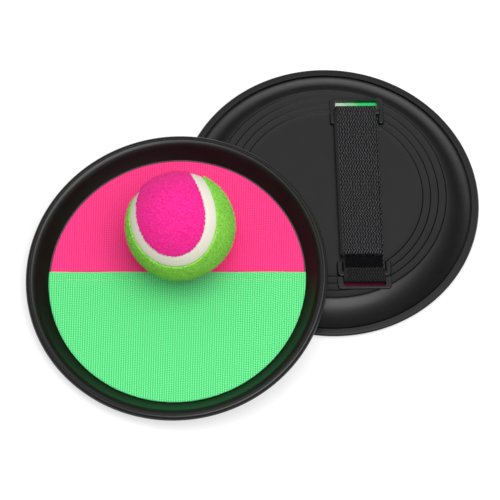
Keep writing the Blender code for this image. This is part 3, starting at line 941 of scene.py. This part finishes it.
    def anchor_plates(self, side: int) -> tuple[Surface, list[Surface], Surface]:
        """Border, rails and slot cutter of one anchor.

        Args:
            side: 1 for the sewn end, -1 for the free turn.

        Returns:
            The border, the two rails, and the block that cuts the slot.
        """
        outer_half = self.slot_half + self.rail_width
        border = self.plate(side, (-outer_half, outer_half), (self.anchor_end - self.border_length, self.anchor_end),
                            (self.border_height, self.wall / 2 + self.border_root), (self.border_corner,) * 4,
                            self.border_edge)
        rails = []
        for hand in (1, -1):
            across = tuple(sorted((hand * (self.slot_half + self.rail_gap), hand * outer_half)))
            corners = tuple(self.rail_corners[number] for number in ((0, 1, 2, 3) if hand > 0 else (1, 0, 3, 2)))
            rails.append(self.plate(side, across, (self.rail_from, self.rail_to),
                                    (self.rail_height, self.wall / 2), corners, self.rail_edge))
        cutter = self.plate(side, (-self.slot_half, self.slot_half), (self.slot_inner, self.slot_outer),
                            (self.cutter_reach, self.depth), (self.slot_corner,) * 4, self.cutter_edge)
        return border, rails, cutter

    def plate(self, side: int, across: tuple[float, float], along: tuple[float, float],
              heights: tuple[float, float], corners: tuple[float, ...], edge: float) -> Surface:
        """One plate of an anchor, mirrored for the free turn.

        Args:
            side: 1 for the sewn end, -1 for the free turn.
            across: Its reach across the strap, from the strap's axis.
            along: Its reach along the strap, for the sewn end.
            heights: How far it stands out of the back, and how far it goes into it.
            corners: Radius of each upright corner, for the sewn end.
            edge: Radius of the outer face's edge.

        Returns:
            The closed surface.
        """
        if side < 0:
            along, corners = (-along[1], -along[0]), corners[::-1]
        return soft_plate((self.strap_axis + across[0], along[0], -heights[0]),
                          (self.strap_axis + across[1], along[1], heights[1]), corners, edge)

    def surface(self) -> Surface:
        """Whole shell in its own frame: the turned dish and the borders as one body, cut by the slots.

        Returns:
            The closed surfaces of the body, the rails and the bars.
        """
        here = Placement((0.0, 0.0, 0.0), Matrix.Identity(3))
        body = bpy.data.objects.new("dish", turned(self.profile(), self.segments).mesh("dish", here))
        bpy.context.scene.collection.objects.link(body)
        tools, extras = [], []
        for anchor in Anchor:
            border, rails, cutter = self.anchor_plates(anchor.value)
            extras += [*rails, self.crossbar(anchor.value)]
            for shape, operation in ((border, "UNION"), (cutter, "DIFFERENCE")):
                tool = bpy.data.objects.new("tool", shape.mesh("tool", here))
                bpy.context.scene.collection.objects.link(tool)
                tools.append(tool)
                step = body.modifiers.new("cut", "BOOLEAN")
                step.object, step.operation, step.solver = tool, operation, "EXACT"
        bpy.context.view_layer.update()
        cut = body.evaluated_get(bpy.context.evaluated_depsgraph_get()).to_mesh()
        points = np.empty(len(cut.vertices) * 3)
        cut.vertices.foreach_get("co", points)
        faces = [tuple(polygon.vertices) for polygon in cut.polygons]
        for item in (body, *tools):
            mesh = item.data
            bpy.data.objects.remove(item, do_unlink=True)
            bpy.data.meshes.remove(mesh)
        return Surface.joined([Surface(points.reshape(-1, 3) / MM, faces), *extras])


@dataclass
class CatchPad:
    """Loop pad in the dish, in two halves: the green one laps over the pink one and is sewn down."""

    shell: Shell
    top: dict[Half, float] = field(default_factory=lambda: {Half.PINK: 6.0, Half.GREEN: 6.5})
    bottom: float = 2.6
    clearance: float = 2.6
    edge: float = 0.7
    lap: float = 5.4
    lap_fabric: float = 1.2
    gap: float = 0.3
    middle: float = 34.0
    wave: float = 0.05
    seam_line: float = 0.2
    seam_dip: float = 0.4
    seam_dip_reach: float = 0.9
    stitch: float = 1.2
    stitch_width: float = 0.34
    stitch_pitch: float = 1.9
    stitch_end: float = 2.5
    thread_sink: float = 0.3
    binding_radius: float = 0.27
    binding_end: float = 0.6
    binding_wander: float = 0.12
    binding_setback: float = 0.15
    scrim_radius: float = 0.25
    scrim_sink: float = 0.35
    scrim_setback: float = 0.1
    rings: int = 36

    def wall_radius(self, height: float) -> float:
        """Radius at which the pad meets the shell's wall, at a height."""
        line = self.shell.shoulder(np.linspace(0.0, 1.0, 200), self.clearance)
        return float(np.interp(height, line[:, 1], line[:, 0]))

    def outline(self, half: Half, radius: float, straight: float, inset: float) -> np.ndarray:
        """Outline of a half: an arc and a straight edge, moved inward by an inset.

        Args:
            half: Which half.
            radius: Radius of the arc.
            straight: Place of the straight edge along y.
            inset: How far the outline moves inward.

        Returns:
            Points of the outline.
        """
        side = half.value
        radius -= inset
        level = side * straight + inset
        start = math.asin(level / radius)
        angle = np.linspace(start, math.pi - start, 161)
        curve = np.column_stack([radius * np.cos(angle), side * radius * np.sin(angle)])
        across = np.linspace(curve[-1, 0], curve[0, 0], 121)[1:-1]
        return np.concatenate([curve, np.column_stack([across, np.full(len(across), side * level)])])

    def half_surface(self, half: Half) -> Surface:
        """One half of the pad, with a rounded edge and a top that dips at the row of stitches.

        The top is the edge's outline drawn in toward a middle point, ring by ring.

        Args:
            half: Which half.

        Returns:
            The closed surface.
        """
        top = self.top[half]
        lap_floor = self.top[Half.GREEN] - self.lap_fabric
        below = 0.0 if half is Half.PINK else -self.gap
        above = self.lap + self.gap if half is Half.PINK else self.lap
        step = lap_floor - self.gap if half is Half.PINK else lap_floor
        levels = [(self.bottom, below, 0.0), (step, below, 0.0), (step, above, 0.0)]
        turn = np.linspace(0.0, math.pi / 2, 6)
        levels += [(top - self.edge * (1.0 - math.sin(a)), above, self.edge * (1.0 - math.cos(a))) for a in turn]
        outlines = [self.outline(half, self.wall_radius(min(height, top - self.edge)), straight, inset)
                    for height, straight, inset in levels]
        heights = [height for height, _, _ in levels]
        middle = np.array([0.0, half.value * self.middle])
        for share in np.linspace(1.0, 0.02, self.rings)[1:]:
            outlines.append(middle + share * (outlines[len(levels) - 1] - middle))
            heights.append(top)
        made = layered(outlines, heights)
        flat = made.points[:, 2] >= top - WELD
        x, y = made.points[flat, 0], made.points[flat, 1]
        waves = self.wave * np.sin(x / 9.0 + 0.6 * np.sin(y / 13.0)) * np.sin(y / 11.0 + 1.0)
        if half is Half.GREEN:
            waves = waves - self.seam_dip * np.exp(-0.5 * ((y - self.seam_line) / self.seam_dip_reach) ** 2)
        made.points[flat, 2] += waves
        made.tint = (made.points[:, 2] < self.bottom + 0.01).astype(float)
        return made

    def cut_edge(self) -> Surface:
        """Grey edge of the pink half, where its knit was cut, as a fine cord along the arc.

        Returns:
            The closed surface.
        """
        top = self.top[Half.PINK] - self.scrim_sink
        radius = self.wall_radius(top) - self.scrim_setback
        start = math.asin(self.lap / radius)
        angle = np.linspace(start, math.pi - start, 200)
        path = np.column_stack([radius * np.cos(angle), radius * np.sin(angle), np.full(len(angle), top)])
        return cord(path, self.scrim_radius)

    def bound_edge(self) -> Surface:
        """Pale thread that binds the lap's edge, along a slightly wandering line.

        Returns:
            The closed surface.
        """
        top = self.top[Half.GREEN]
        reach = self.wall_radius(top - self.edge) - self.binding_end
        x = np.linspace(-reach, reach, 240)
        y = self.lap + self.binding_wander * np.sin(x / 7.0) - self.binding_setback
        return cord(np.column_stack([x, y, np.full(len(x), top - self.thread_sink)]), self.binding_radius)

    def stitches(self) -> Surface:
        """Row of stitches that holds the lap.

        Returns:
            The stitches' surface.
        """
        top = self.top[Half.GREEN]
        reach = self.wall_radius(top - self.edge) - self.stitch_end
        x = np.arange(-reach, reach, self.stitch_pitch)
        count = len(x)
        places = np.column_stack([x, np.full(count, self.seam_line), np.full(count, top - self.thread_sink)])
        return stitch_row(places, np.tile([1.0, 0.0, 0.0], (count, 1)), np.tile([0.0, 0.0, 1.0], (count, 1)),
                          self.stitch, self.stitch_width)


@dataclass
class HandStrap:
    """One length of webbing round both crossbars, with a loop tape on it and a hook patch under its free end."""

    axis: float = 18.3
    width: float = 25.4
    thickness: float = 1.1
    tape: float = 0.6
    tape_width: float = 23.0
    lower: float = 0.85
    loops: float = 2.0
    hooks: float = 2.9
    upper: float = 4.05
    over_bar: float = 3.35
    under: float = -0.85
    slot_inner: float = 46.5
    bar_in: float = 53.4
    turn_middle: float = 56.15
    turn_height: float = 1.25
    turn_radius: float = 2.1
    sewn_slack: float = 2.6
    free_slack: float = 0.9
    tail: tuple[float, float] = (47.8, 50.5)
    dip: tuple[float, float] = (50.4, 53.0)
    ramp: float = 0.3623
    fold: float = 1.49
    turn_shift: float = -1.0
    upper_shift: float = -1.65
    free_end: float = 43.5
    loop_tape: tuple[float, float] = (-20.1, 52.4)
    hook_patch: tuple[float, float] = (15.5, 42.5)
    fuzz_count: int = 6000
    fuzz_overlap: float = 6.0
    fray_count: int = 260
    stitch: float = 1.6
    stitch_width: float = 0.34
    stitch_pitch: float = 2.2
    stitch_row_setback: float = 1.2
    stitch_end_setback: float = 0.8
    stitch_sink: float = 0.05

    def bar_turn(self, side: int, shift: float, slack: float) -> list[tuple[float, float, float]]:
        """Route points round a crossbar, from under it to over it, loose at its outer side.

        Args:
            side: 1 for the sewn end, -1 for the free turn.
            shift: Sideways shift.
            slack: How loose the turn is.

        Returns:
            Points of x, y and outward height.
        """
        turn = arc((0.0, self.turn_height), self.turn_radius, -90.0, 90.0, 16)
        return [(shift, side * (self.turn_middle + y * (1.0 + slack / self.turn_radius)), height)
                for y, height in turn]

    def ramp_height(self, y: float) -> float:
        """Height of the webbing's middle where it climbs from the back onto the crossbar."""
        return self.lower + self.ramp * (y - self.slot_inner)

    def webbing_route(self) -> np.ndarray:
        """Route of the webbing's middle, from its sewn tail to its free end.

        Returns:
            Points of x, y and outward height.
        """
        inner, (tail_end, seam_end) = self.slot_inner, self.tail
        route = [(0.0, tail_end, self.ramp_height(tail_end) - self.fold),
                 (0.0, seam_end, self.ramp_height(seam_end) - self.fold), (0.0, self.bar_in, self.under)]
        route += self.bar_turn(Anchor.SEWN_END.value, 0.0, self.sewn_slack)
        route += [(0.0, self.bar_in, self.over_bar), (0.0, inner, self.lower), (0.0, 0.0, self.lower),
                  (0.0, -self.dip[0], self.lower), (0.0, -self.dip[1], self.under)]
        route += self.bar_turn(Anchor.FREE_TURN.value, self.turn_shift / 3, self.free_slack)
        route += [(self.turn_shift, -self.bar_in, self.over_bar + 0.2), (self.upper_shift, -inner, self.upper),
                  (self.upper_shift, 0.0, self.upper), (self.upper_shift, self.free_end, self.upper)]
        return softened([(self.axis + x, y, height) for x, y, height in route])

    def loop_route(self) -> np.ndarray:
        """Route of the loop tape, on the lower webbing and up its ramp.

        Returns:
            Points of x, y and outward height.
        """
        start, end = self.loop_tape
        on_ramp = self.ramp_height(end) + (self.loops - self.lower) * math.hypot(1.0, self.ramp)
        return softened([(self.axis, start, self.loops), (self.axis, self.slot_inner - 0.2, self.loops),
                         (self.axis, end, on_ramp)])

    def hook_route(self) -> np.ndarray:
        """Route of the hook patch, under the upper webbing."""
        x = self.axis + self.upper_shift
        return softened([(x, y, self.hooks) for y in self.hook_patch])

    def exposed_loops(self, chance: np.random.Generator) -> Surface:
        """Fuzz of the loop tape where the free end leaves it bare.

        Args:
            chance: Source of the random numbers.

        Returns:
            The fibres.
        """
        route, count = self.loop_route(), self.fuzz_count
        along = chance.uniform(self.free_end - self.fuzz_overlap, self.loop_tape[1], size=count)
        height = np.interp(along, route[:, 1], route[:, 2]) + self.tape / 2
        across = chance.uniform(-1.0, 1.0, size=count) * (self.tape_width / 2 - 0.4)
        roots = np.column_stack([self.axis + across, along, -height])
        return fibres(roots, np.tile([0.0, 0.0, -1.0], (count, 1)), length=0.9, width=0.09, lean=0.8, chance=chance)

    def frayed_end(self, chance: np.random.Generator) -> Surface:
        """Loose threads at the cut free end.

        Args:
            chance: Source of the random numbers.

        Returns:
            The threads.
        """
        count = self.fray_count
        across = chance.uniform(-1.0, 1.0, size=count) * (self.width / 2 - 0.3)
        height = self.upper + chance.uniform(-0.45, 0.5, size=count)
        roots = np.column_stack([self.axis + self.upper_shift + across, np.full(count, self.free_end - 0.3), -height])
        return fibres(roots, np.tile([0.0, 1.0, 0.0], (count, 1)), length=1.5, width=0.13, lean=0.3, chance=chance)

    def stitches(self) -> Surface:
        """Stitches through the webbing round the hook patch.

        Returns:
            The stitches' surface.
        """
        start, end = self.hook_patch
        half = self.tape_width / 2 - self.stitch_row_setback
        y = np.arange(start + 1.2, end - 1.0, self.stitch_pitch)
        x = np.arange(-half + 1.5, half, self.stitch_pitch)
        middle = self.axis + self.upper_shift
        sides = [np.column_stack([np.full(len(y), middle + hand * half), y]) for hand in (-1, 1)]
        ends = [np.column_stack([middle + x, np.full(len(x), place)])
                for place in (start + self.stitch_end_setback, end - self.stitch_end_setback)]
        flat = np.concatenate(sides + ends)
        ways = np.concatenate([np.tile([0.0, 1.0, 0.0], (2 * len(y), 1)), np.tile([1.0, 0.0, 0.0], (2 * len(x), 1))])
        places = np.column_stack([flat, np.full(len(flat), -(self.upper + self.thickness / 2 - self.stitch_sink))])
        return stitch_row(places, ways, np.tile([0.0, 0.0, -1.0], (len(flat), 1)), self.stitch, self.stitch_width)


@dataclass
class Ball:
    """Rubber ball with a raised seam band and two felt panels."""

    radius: float = 32.7
    felt: float = 1.3
    gap: float = 0.3
    seam_width: float = 8.8
    seam_shift: float = 1.8
    seam_below_felt: float = 0.4
    seam_shape: float = 0.267
    seam_rounding: float = 0.55
    seam_root: float = 3.0
    panel_gap: float = 0.15
    edge_height: float = 0.4
    edge_roll: float = 0.7
    spine_end: float = 1.75
    raggedness: dict[Half, float] = field(default_factory=lambda: {Half.PINK: 0.34, Half.GREEN: 0.06})
    turns: int = 480
    steps: int = 56
    nap: int = 42000
    nap_gap: float = 0.25
    nap_root: float = 0.4

    def seam_line(self, turns: int) -> tuple[np.ndarray, np.ndarray]:
        """Middle line of the seam on a unit ball.

        x is a cos t + b cos 3t, y is a sin t - b sin 3t and z is twice the root of ab times sin 2t, where b
        is the seam's shape and a is the rest of 1. The line then moves toward the green panel, because the
        pink one is cut a little larger.

        Args:
            turns: Number of points.

        Returns:
            The points, and the unit direction across the seam at each.
        """
        turn = np.linspace(0.0, math.tau, turns, endpoint=False)
        narrow = self.seam_shape
        wide = 1.0 - narrow
        line = np.stack([wide * np.cos(turn) + narrow * np.cos(3 * turn),
                         wide * np.sin(turn) - narrow * np.sin(3 * turn),
                         2 * math.sqrt(wide * narrow) * np.sin(2 * turn)], axis=1)
        for shift in (self.seam_shift, 0.0):
            along = np.roll(line, -1, axis=0) - np.roll(line, 1, axis=0)
            across = np.cross(line, along)
            across /= np.linalg.norm(across, axis=1)[:, None]
            line = line + across * shift / self.radius
            line /= np.linalg.norm(line, axis=1)[:, None]
        return line, across

    def seam_length(self) -> float:
        """Length of the seam on the ball's surface."""
        line, _ = self.seam_line(self.turns)
        return float(np.linalg.norm(np.diff(line, axis=0, append=line[:1]), axis=1).sum() * self.radius)

    def core(self) -> Surface:
        """Rubber ball and its seam band, whose crown follows the ball and whose edges are rounded.

        Returns:
            Two closed surfaces, the band sunk in the ball.
        """
        inner = self.radius - self.felt - self.gap
        lat = np.linspace(-math.pi / 2, math.pi / 2, 65)
        body = turned(np.column_stack([inner * np.cos(lat), inner * np.sin(lat)]), 128)
        line, across = self.seam_line(self.turns)
        crown = self.radius - self.seam_below_felt
        way = np.concatenate([[-1.0], np.linspace(-1.0, 1.0, 17), [1.0]])
        height = crown - self.seam_rounding * np.abs(way) ** 8
        height[[0, -1]] = inner - self.seam_root
        rays = line[:, None, :] + across[:, None, :] * (way * self.seam_width / 2 / self.radius)[None, :, None]
        rays *= (height / np.linalg.norm(rays, axis=-1))[..., None]
        faces = grid_faces(self.turns, len(way), round_rows=True, round_columns=True)
        band = Surface(rays.reshape(-1, 3), faces).outward()
        return Surface.joined([body, band])

    def panel_rays(self, half: Half, inset: float, steps: int) -> np.ndarray:
        """Unit directions over one felt panel, from its edge in to its spine.

        The edge is the seam's line moved across by an inset. The spine is an arc of a great circle through
        the panel's pole, and a point of the panel lies on the way from an edge point to its spine point.

        Args:
            half: Which panel.
            inset: Distance of the edge from the seam's middle line.
            steps: Points from the edge to the spine.

        Returns:
            Directions, one row for each turn of the seam.
        """
        line, across = self.seam_line(self.turns)
        pole = np.array([0.0, 0.0, -half.value])
        lengthwise = np.array([1.0, half.value, 0.0]) / math.sqrt(2)
        hand = np.sign(((line + 0.2 * across) @ pole - line @ pole).mean()) or 1.0
        away = np.sign((across * (pole - line)).sum(axis=1).mean()) or hand
        turn = np.linspace(0.0, math.tau, self.turns, endpoint=False)[:, None]
        ragged = self.raggedness[half] * (np.sin(89 * turn + 2.0 * np.sin(31 * turn))
                                          + 0.8 * np.sin(151 * turn + 1.5 * np.sin(47 * turn)))
        edge, even = (line + away * across * (inset + extra) / self.radius for extra in (ragged, 0.0))
        edge /= np.linalg.norm(edge, axis=1)[:, None]
        angle = np.arctan2(even @ lengthwise, even @ pole)
        spine_angle = np.clip(angle, -self.spine_end, self.spine_end)
        spine = np.sin(spine_angle)[:, None] * lengthwise + np.cos(spine_angle)[:, None] * pole
        share = np.linspace(0.0, 1.0, steps)[None, :, None]
        rays = edge[:, None, :] * (1.0 - share) + spine[:, None, :] * share
        return rays / np.linalg.norm(rays, axis=-1)[..., None]

    def panel(self, half: Half) -> Surface:
        """One felt panel: its outside rolls down at the edge and its inside lies on the rubber.

        Args:
            half: Which panel.

        Returns:
            The closed surface.
        """
        rays = self.panel_rays(half, self.seam_width / 2 + self.panel_gap, self.steps)
        edge = rays[:, :1]
        distance = np.arccos(np.clip((rays * edge).sum(axis=-1), -1.0, 1.0)) * self.radius
        lift = np.sqrt(1.0 - (1.0 - np.clip(distance / self.edge_roll, 0.0, 1.0)) ** 2)
        inner = self.radius - self.felt
        outside = inner + self.edge_height + (self.felt - self.edge_height) * lift
        tufts = (0.16 * np.sin(61 * rays[..., 0] + 37 * rays[..., 1]) * np.sin(53 * rays[..., 2] - 41 * rays[..., 0])
                 + 0.12 * np.sin(97 * rays[..., 1] - 71 * rays[..., 2]) * np.sin(89 * rays[..., 0] + 13.0))
        outer_points = rays * (outside + tufts * lift)[..., None]
        inner_points = rays * inner
        shell = np.concatenate([inner_points[:, ::-1], outer_points], axis=1)
        count = shell.shape[1]
        faces = grid_faces(self.turns, count, round_rows=True)
        points = shell.reshape(-1, 3)
        return Surface(points, faces, tint=np.zeros(len(points))).outward()

    def panel_nap(self, half: Half, chance: np.random.Generator) -> Surface:
        """Loose fibres all over one panel, a little coarser than real ones so that they show.

        Random directions are kept where they fall in the same small cell of space as a point of the panel,
        and clear of the seam.

        Args:
            half: Which panel.
            chance: Source of the random numbers.

        Returns:
            The fibres.
        """
        rays = self.panel_rays(half, self.seam_width / 2 + self.nap_gap, self.steps).reshape(-1, 3)
        tries = chance.normal(size=(self.nap * 5, 3))
        tries /= np.linalg.norm(tries, axis=1)[:, None]
        inside, code = (np.round(ways * 40).astype(int) @ (40000, 200, 1) for ways in (rays, tries))
        line, _ = self.seam_line(self.turns)
        kept = tries[np.isin(code, inside)][:int(self.nap * 1.4)]
        near = (kept @ line.T).max(axis=1)
        kept = kept[near < math.cos(self.seam_width / 2 / self.radius)][:self.nap]
        return fibres(kept * (self.radius - self.nap_root), kept, length=1.5, width=0.1, lean=0.75, chance=chance)


@dataclass(frozen=True)
class Studio:
    """Camera, pale floor and soft lights.

    The camera looks from far away with a long lens, as the photograph does. The aim point is given from
    the middle of the back paddle's rim on the floor.
    """

    aim_from_back_paddle: tuple[float, float, float] = (-49.18, -31.49, 0.0)
    heading: float = math.radians(-7.25)
    elevation: float = math.radians(62.63)
    roll: float = math.radians(6.43)
    distance: float = 5.0
    pixels_per_mm: float = 1.6427
    sensor: float = 36.0
    image_width: float = 500.0
    floor_reach: float = 12.0
    floor_paint: str = "B0B0B0"
    floor_glow: float = 0.62
    dome_low: float = 0.04
    dome_high: float = 1.15
    backdrop: tuple[float, float] = (0.07, 0.035)
    lamp_distance: float = 2.2

    def camera(self) -> bpy.types.Object:
        """Make the scene's camera.

        Returns:
            The camera object.
        """
        low, high = (np.array(corner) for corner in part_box("back_shell"))
        middle = Vector(((low[0] + high[0]) / 2, (low[1] + high[1]) / 2, low[2]))
        aim = middle + Vector(self.aim_from_back_paddle) * MM
        back = Vector((math.sin(self.heading) * math.cos(self.elevation),
                       -math.cos(self.heading) * math.cos(self.elevation), math.sin(self.elevation)))
        right = Vector((math.cos(self.heading), math.sin(self.heading), 0.0))
        upward = back.cross(right)
        side = math.cos(self.roll) * right + math.sin(self.roll) * upward
        top = -math.sin(self.roll) * right + math.cos(self.roll) * upward
        place = aim + back * self.distance
        data = bpy.data.cameras.new("camera")
        data.sensor_width = self.sensor
        data.lens = self.pixels_per_mm * self.distance / MM / self.image_width * self.sensor
        data.clip_end = 50.0
        camera = bpy.data.objects.new("camera", data)
        camera.matrix_world = Matrix(((side.x, top.x, back.x, place.x), (side.y, top.y, back.y, place.y),
                                      (side.z, top.z, back.z, place.z), (0.0, 0.0, 0.0, 1.0)))
        bpy.context.scene.collection.objects.link(camera)
        bpy.context.scene.camera = camera
        return camera

    def seeing_rays(self, tree: bpy.types.NodeTree) -> bpy.types.NodeSocket:
        """Tell the rays by which the background is seen: straight, mirrored or through something clear.

        Args:
            tree: Node tree that gets the nodes.

        Returns:
            Socket that is 1 for those rays and 0 for the others.
        """
        ray = node(tree, "ShaderNodeLightPath")
        mirrored = node(tree, "ShaderNodeMath", {0: ray.outputs["Is Camera Ray"], 1: ray.outputs["Is Glossy Ray"]},
                        operation="MAXIMUM")
        either = node(tree, "ShaderNodeMath", {0: mirrored.outputs[0], 1: ray.outputs["Is Transmission Ray"]},
                      operation="MAXIMUM")
        return either.outputs[0]

    def floor(self) -> None:
        """Lay the floor, painted matt grey, which camera and glossy rays see lifted to white apart from shadows."""
        mesh = bpy.data.meshes.new("floor")
        reach = self.floor_reach
        mesh.from_pydata([(-reach, -reach, 0), (reach, -reach, 0), (reach, reach, 0), (-reach, reach, 0)],
                         [], [(0, 1, 2, 3)])
        floor = bpy.data.objects.new("floor", mesh)
        bpy.context.scene.collection.objects.link(floor)
        made = bpy.data.materials.new("matt white paint")
        made.use_nodes = True
        tree = made.node_tree
        tree.nodes.clear()
        paint = node(tree, "ShaderNodeBsdfDiffuse", {"Color": linear(self.floor_paint)})
        glow = node(tree, "ShaderNodeEmission", {"Color": linear("FFFFFF"), "Strength": self.floor_glow})
        seen = node(tree, "ShaderNodeAddShader", {0: paint.outputs[0], 1: glow.outputs[0]})
        either = node(tree, "ShaderNodeMixShader", {0: self.seeing_rays(tree), 1: paint.outputs[0],
                                                    2: seen.outputs[0]})
        node(tree, "ShaderNodeOutputMaterial", {"Surface": either.outputs[0]})
        mesh.materials.append(made)

    def dome(self) -> None:
        """Light the set from a soft dome, brighter overhead, with a white backdrop low behind the floor."""
        world = bpy.context.scene.world or bpy.data.worlds.new("studio")
        bpy.context.scene.world = world
        world.use_nodes = True
        tree = world.node_tree
        tree.nodes.clear()
        place = node(tree, "ShaderNodeTexCoord")
        way = node(tree, "ShaderNodeSeparateXYZ", {0: place.outputs["Generated"]})
        steep = node(tree, "ShaderNodeMath", {0: way.outputs["Z"], 1: way.outputs["Z"]}, operation="MULTIPLY")
        level = node(tree, "ShaderNodeMapRange", {"Value": steep.outputs[0], "From Min": 0.0, "From Max": 1.0,
                                                  "To Min": self.dome_low, "To Max": self.dome_high})
        low = node(tree, "ShaderNodeMapRange", {"Value": way.outputs["Z"], "From Min": self.backdrop[0],
                                                "From Max": self.backdrop[1]}, clamp=True)
        backdrop = node(tree, "ShaderNodeMath", {0: low.outputs["Result"], 1: self.seeing_rays(tree)},
                        operation="MULTIPLY")
        seen = node(tree, "ShaderNodeMath", {0: level.outputs["Result"], 1: backdrop.outputs[0]},
                    operation="MAXIMUM")
        sky = node(tree, "ShaderNodeBackground", {"Color": linear("FFFFFF"), "Strength": seen.outputs[0]})
        node(tree, "ShaderNodeOutputWorld", {"Surface": sky.outputs[0]})

    def lamp(self, name: str, azimuth: float, elevation: float, size: tuple[float, float], power: float) -> None:
        """Hang a soft box that faces the set.

        Args:
            name: Name of the lamp.
            azimuth: Degrees to the right of the front.
            elevation: Degrees above the floor.
            size: Width and height in metres.
            power: Power in watts.
        """
        data = bpy.data.lights.new(name, "AREA")
        data.shape = "RECTANGLE"
        data.size, data.size_y = size
        data.energy = power
        lamp = bpy.data.objects.new(name, data)
        turn, rise = math.radians(azimuth), math.radians(elevation)
        way = Vector((math.sin(turn) * math.cos(rise), -math.cos(turn) * math.cos(rise), math.sin(rise)))
        facing = way.to_track_quat("Z", "Y").to_matrix().to_4x4()
        lamp.matrix_world = Matrix.Translation(way * self.lamp_distance) @ facing
        bpy.context.scene.collection.objects.link(lamp)


@dataclass
class CatchSet:
    """The whole set, piece by piece."""

    back: Placement
    front: Placement
    ball: Placement
    chance: np.random.Generator = field(default_factory=lambda: np.random.default_rng(7))

    def paddles(self) -> None:
        """Build a paddle's pieces once and put them in both places."""
        plastic = MouldedPlastic().material()
        # the pink half's backing colours are painted shade for the pad's underside under the strap; the green half's
        # pale backing colour is a painted glare
        pink = LoopFabric("pink knitted loop fabric", "FF4C94", "F2226A", "4A142A", "5A1A32").material()
        green = LoopFabric("green knitted loop fabric", "7AF4A0", "32BC5A", "3CDC78", "DCEEDA").material()
        webbing = WovenWebbing().material()
        loops = PlushCloth("black brushed loop tape", "1B1B1E", "060607", tuft=0.9).material()
        thread = SmoothCord("spun green sewing thread", "CFE892", "9CCC70", roughness=0.8, grain=0.4).material()
        binding = SmoothCord("pale binding thread", "EAD69A", "CDB070", roughness=0.8, grain=0.5).material()
        scrim = SmoothCord("grey polyester scrim", "787470", "3E3C3C", roughness=0.8, grain=0.5).material()
        dark_thread = SmoothCord("spun black sewing thread", "2C2C30", "151517", roughness=0.7, grain=0.4).material()
        shell, strap = Shell(), HandStrap()
        pad = CatchPad(shell)
        dish = shell.surface()
        halves = {half: pad.half_surface(half) for half in Half}
        route = strap.webbing_route()
        woven = strip(route, strap.width, strap.thickness)
        # tint 1 on the webbing round the sewn end's crossbar, where the strokes fade and the webbing shows darker
        woven.tint = (woven.points[:, 1] > strap.bar_in - 0.5).astype(float)
        loop_strip = strip(strap.loop_route(), strap.tape_width, strap.tape)
        hook_strip = strip(strap.hook_route(), strap.tape_width, strap.tape)
        fuzz, fray = strap.exposed_loops(self.chance), strap.frayed_end(self.chance)
        for surface in (loop_strip, hook_strip):
            surface.tint = np.zeros(len(surface.points))
        for name, place in (("back", self.back), ("front", self.front)):
            body = show(f"{name}_dish", dish.mesh("dish", place), plastic, "shell_plastic", f"{name}_shell")
            for half, cloth, slot in ((Half.PINK, pink, "pink_loop_fabric"), (Half.GREEN, green, "green_loop_fabric")):
                colour = half.name.lower()
                made = show(f"{name}_{colour}_half", halves[half].mesh("half", place), cloth, slot,
                            f"{name}_pad_{colour}")
            show(f"{name}_pad_stitches", pad.stitches().mesh("stitches", place), thread, "green_loop_fabric")
            show(f"{name}_bound_edge", pad.bound_edge().mesh("edge", place), binding, "green_loop_fabric")
            show(f"{name}_cut_edge", pad.cut_edge().mesh("edge", place), scrim, "pink_loop_fabric")
            loop = show(f"{name}_loops", loop_strip.mesh("loops", place), loops, "fastener_tape", f"{name}_loop_tape")
            nap = show(f"{name}_loop_fuzz", fuzz.mesh("fuzz", place, None), loops, "fastener_tape")
            hook = show(f"{name}_hooks", hook_strip.mesh("hooks", place), loops, "fastener_tape",
                        f"{name}_hook_patch")
            ends = show(f"{name}_frayed_end", fray.mesh("fray", place, None), dark_thread, "webbing")
            seams = show(f"{name}_strap_stitches", strap.stitches().mesh("seams", place), dark_thread, "webbing")
            band = show(f"{name}_webbing", woven.mesh("webbing", place), webbing, "webbing", f"{name}_strap")

    def felt_ball(self) -> None:
        """Build the rubber ball and its felt panels."""
        ball = Ball()
        rubber = SmoothCord("cream vulcanised rubber", "F3EFE0", "E9E4D2").material()
        core = show("rubber_core", ball.core().mesh("core", self.ball), rubber, "seam_rubber", "ball_core")
        felts = {Half.PINK: PlushCloth("pink needled felt", "FF44C2", "F00664", sheen=0.1).material(),
                 Half.GREEN: PlushCloth("green needled felt", "C8FF72", "3CBC24", sheen=0.1).material()}
        area = (4 * math.pi * ball.radius ** 2 - ball.seam_length() * ball.seam_width) / 2 * MM ** 2
        for half, felt in felts.items():
            colour = half.name.lower()
            slot = f"{colour}_felt"
            panel = show(f"{colour}_panel", ball.panel(half).mesh("panel", self.ball), felt, slot,
                         f"ball_felt_{colour}")
            nap = show(f"{colour}_nap", ball.panel_nap(half, self.chance).mesh("nap", self.ball, None), felt, slot)


def main() -> None:
    """Build the set piece by piece."""
    logging.basicConfig(level=logging.INFO, format="%(name)s: %(message)s")
    bpy.context.scene.view_settings.view_transform = "Standard"
    studio = Studio()
    studio.camera()
    studio.floor()
    studio.dome()
    studio.lamp("overhead_softbox", azimuth=18.0, elevation=77.0, size=(1.4, 1.8), power=32.0)
    back_turn, front_turn, lean_heading, lean_angle = (math.radians(angle) for angle in (0.6, -2.9, -136.0, 9.5196))
    face_down = Matrix.Rotation(back_turn, 3, "Z") @ Matrix.Rotation(math.pi, 3, "X")
    lean_axis = Vector((-math.sin(lean_heading), math.cos(lean_heading), 0.0))
    leaning = Matrix.Rotation(lean_angle, 3, lean_axis) @ Matrix.Rotation(front_turn, 3, "Z")
    turned_ball = Euler([math.radians(angle) for angle in (92.98, -62.47, 7.55)]).to_matrix()
    catch_set = CatchSet(back=Placement((47.5207, 30.5999, 13.8), face_down),
                         front=Placement((-46.8127, -29.961, 11.7524), leaning),
                         ball=Placement((-46.8336, -12.1751, 53.6705), turned_ball))
    catch_set.paddles()
    catch_set.felt_ball()


if __name__ == "__main__":
    main()
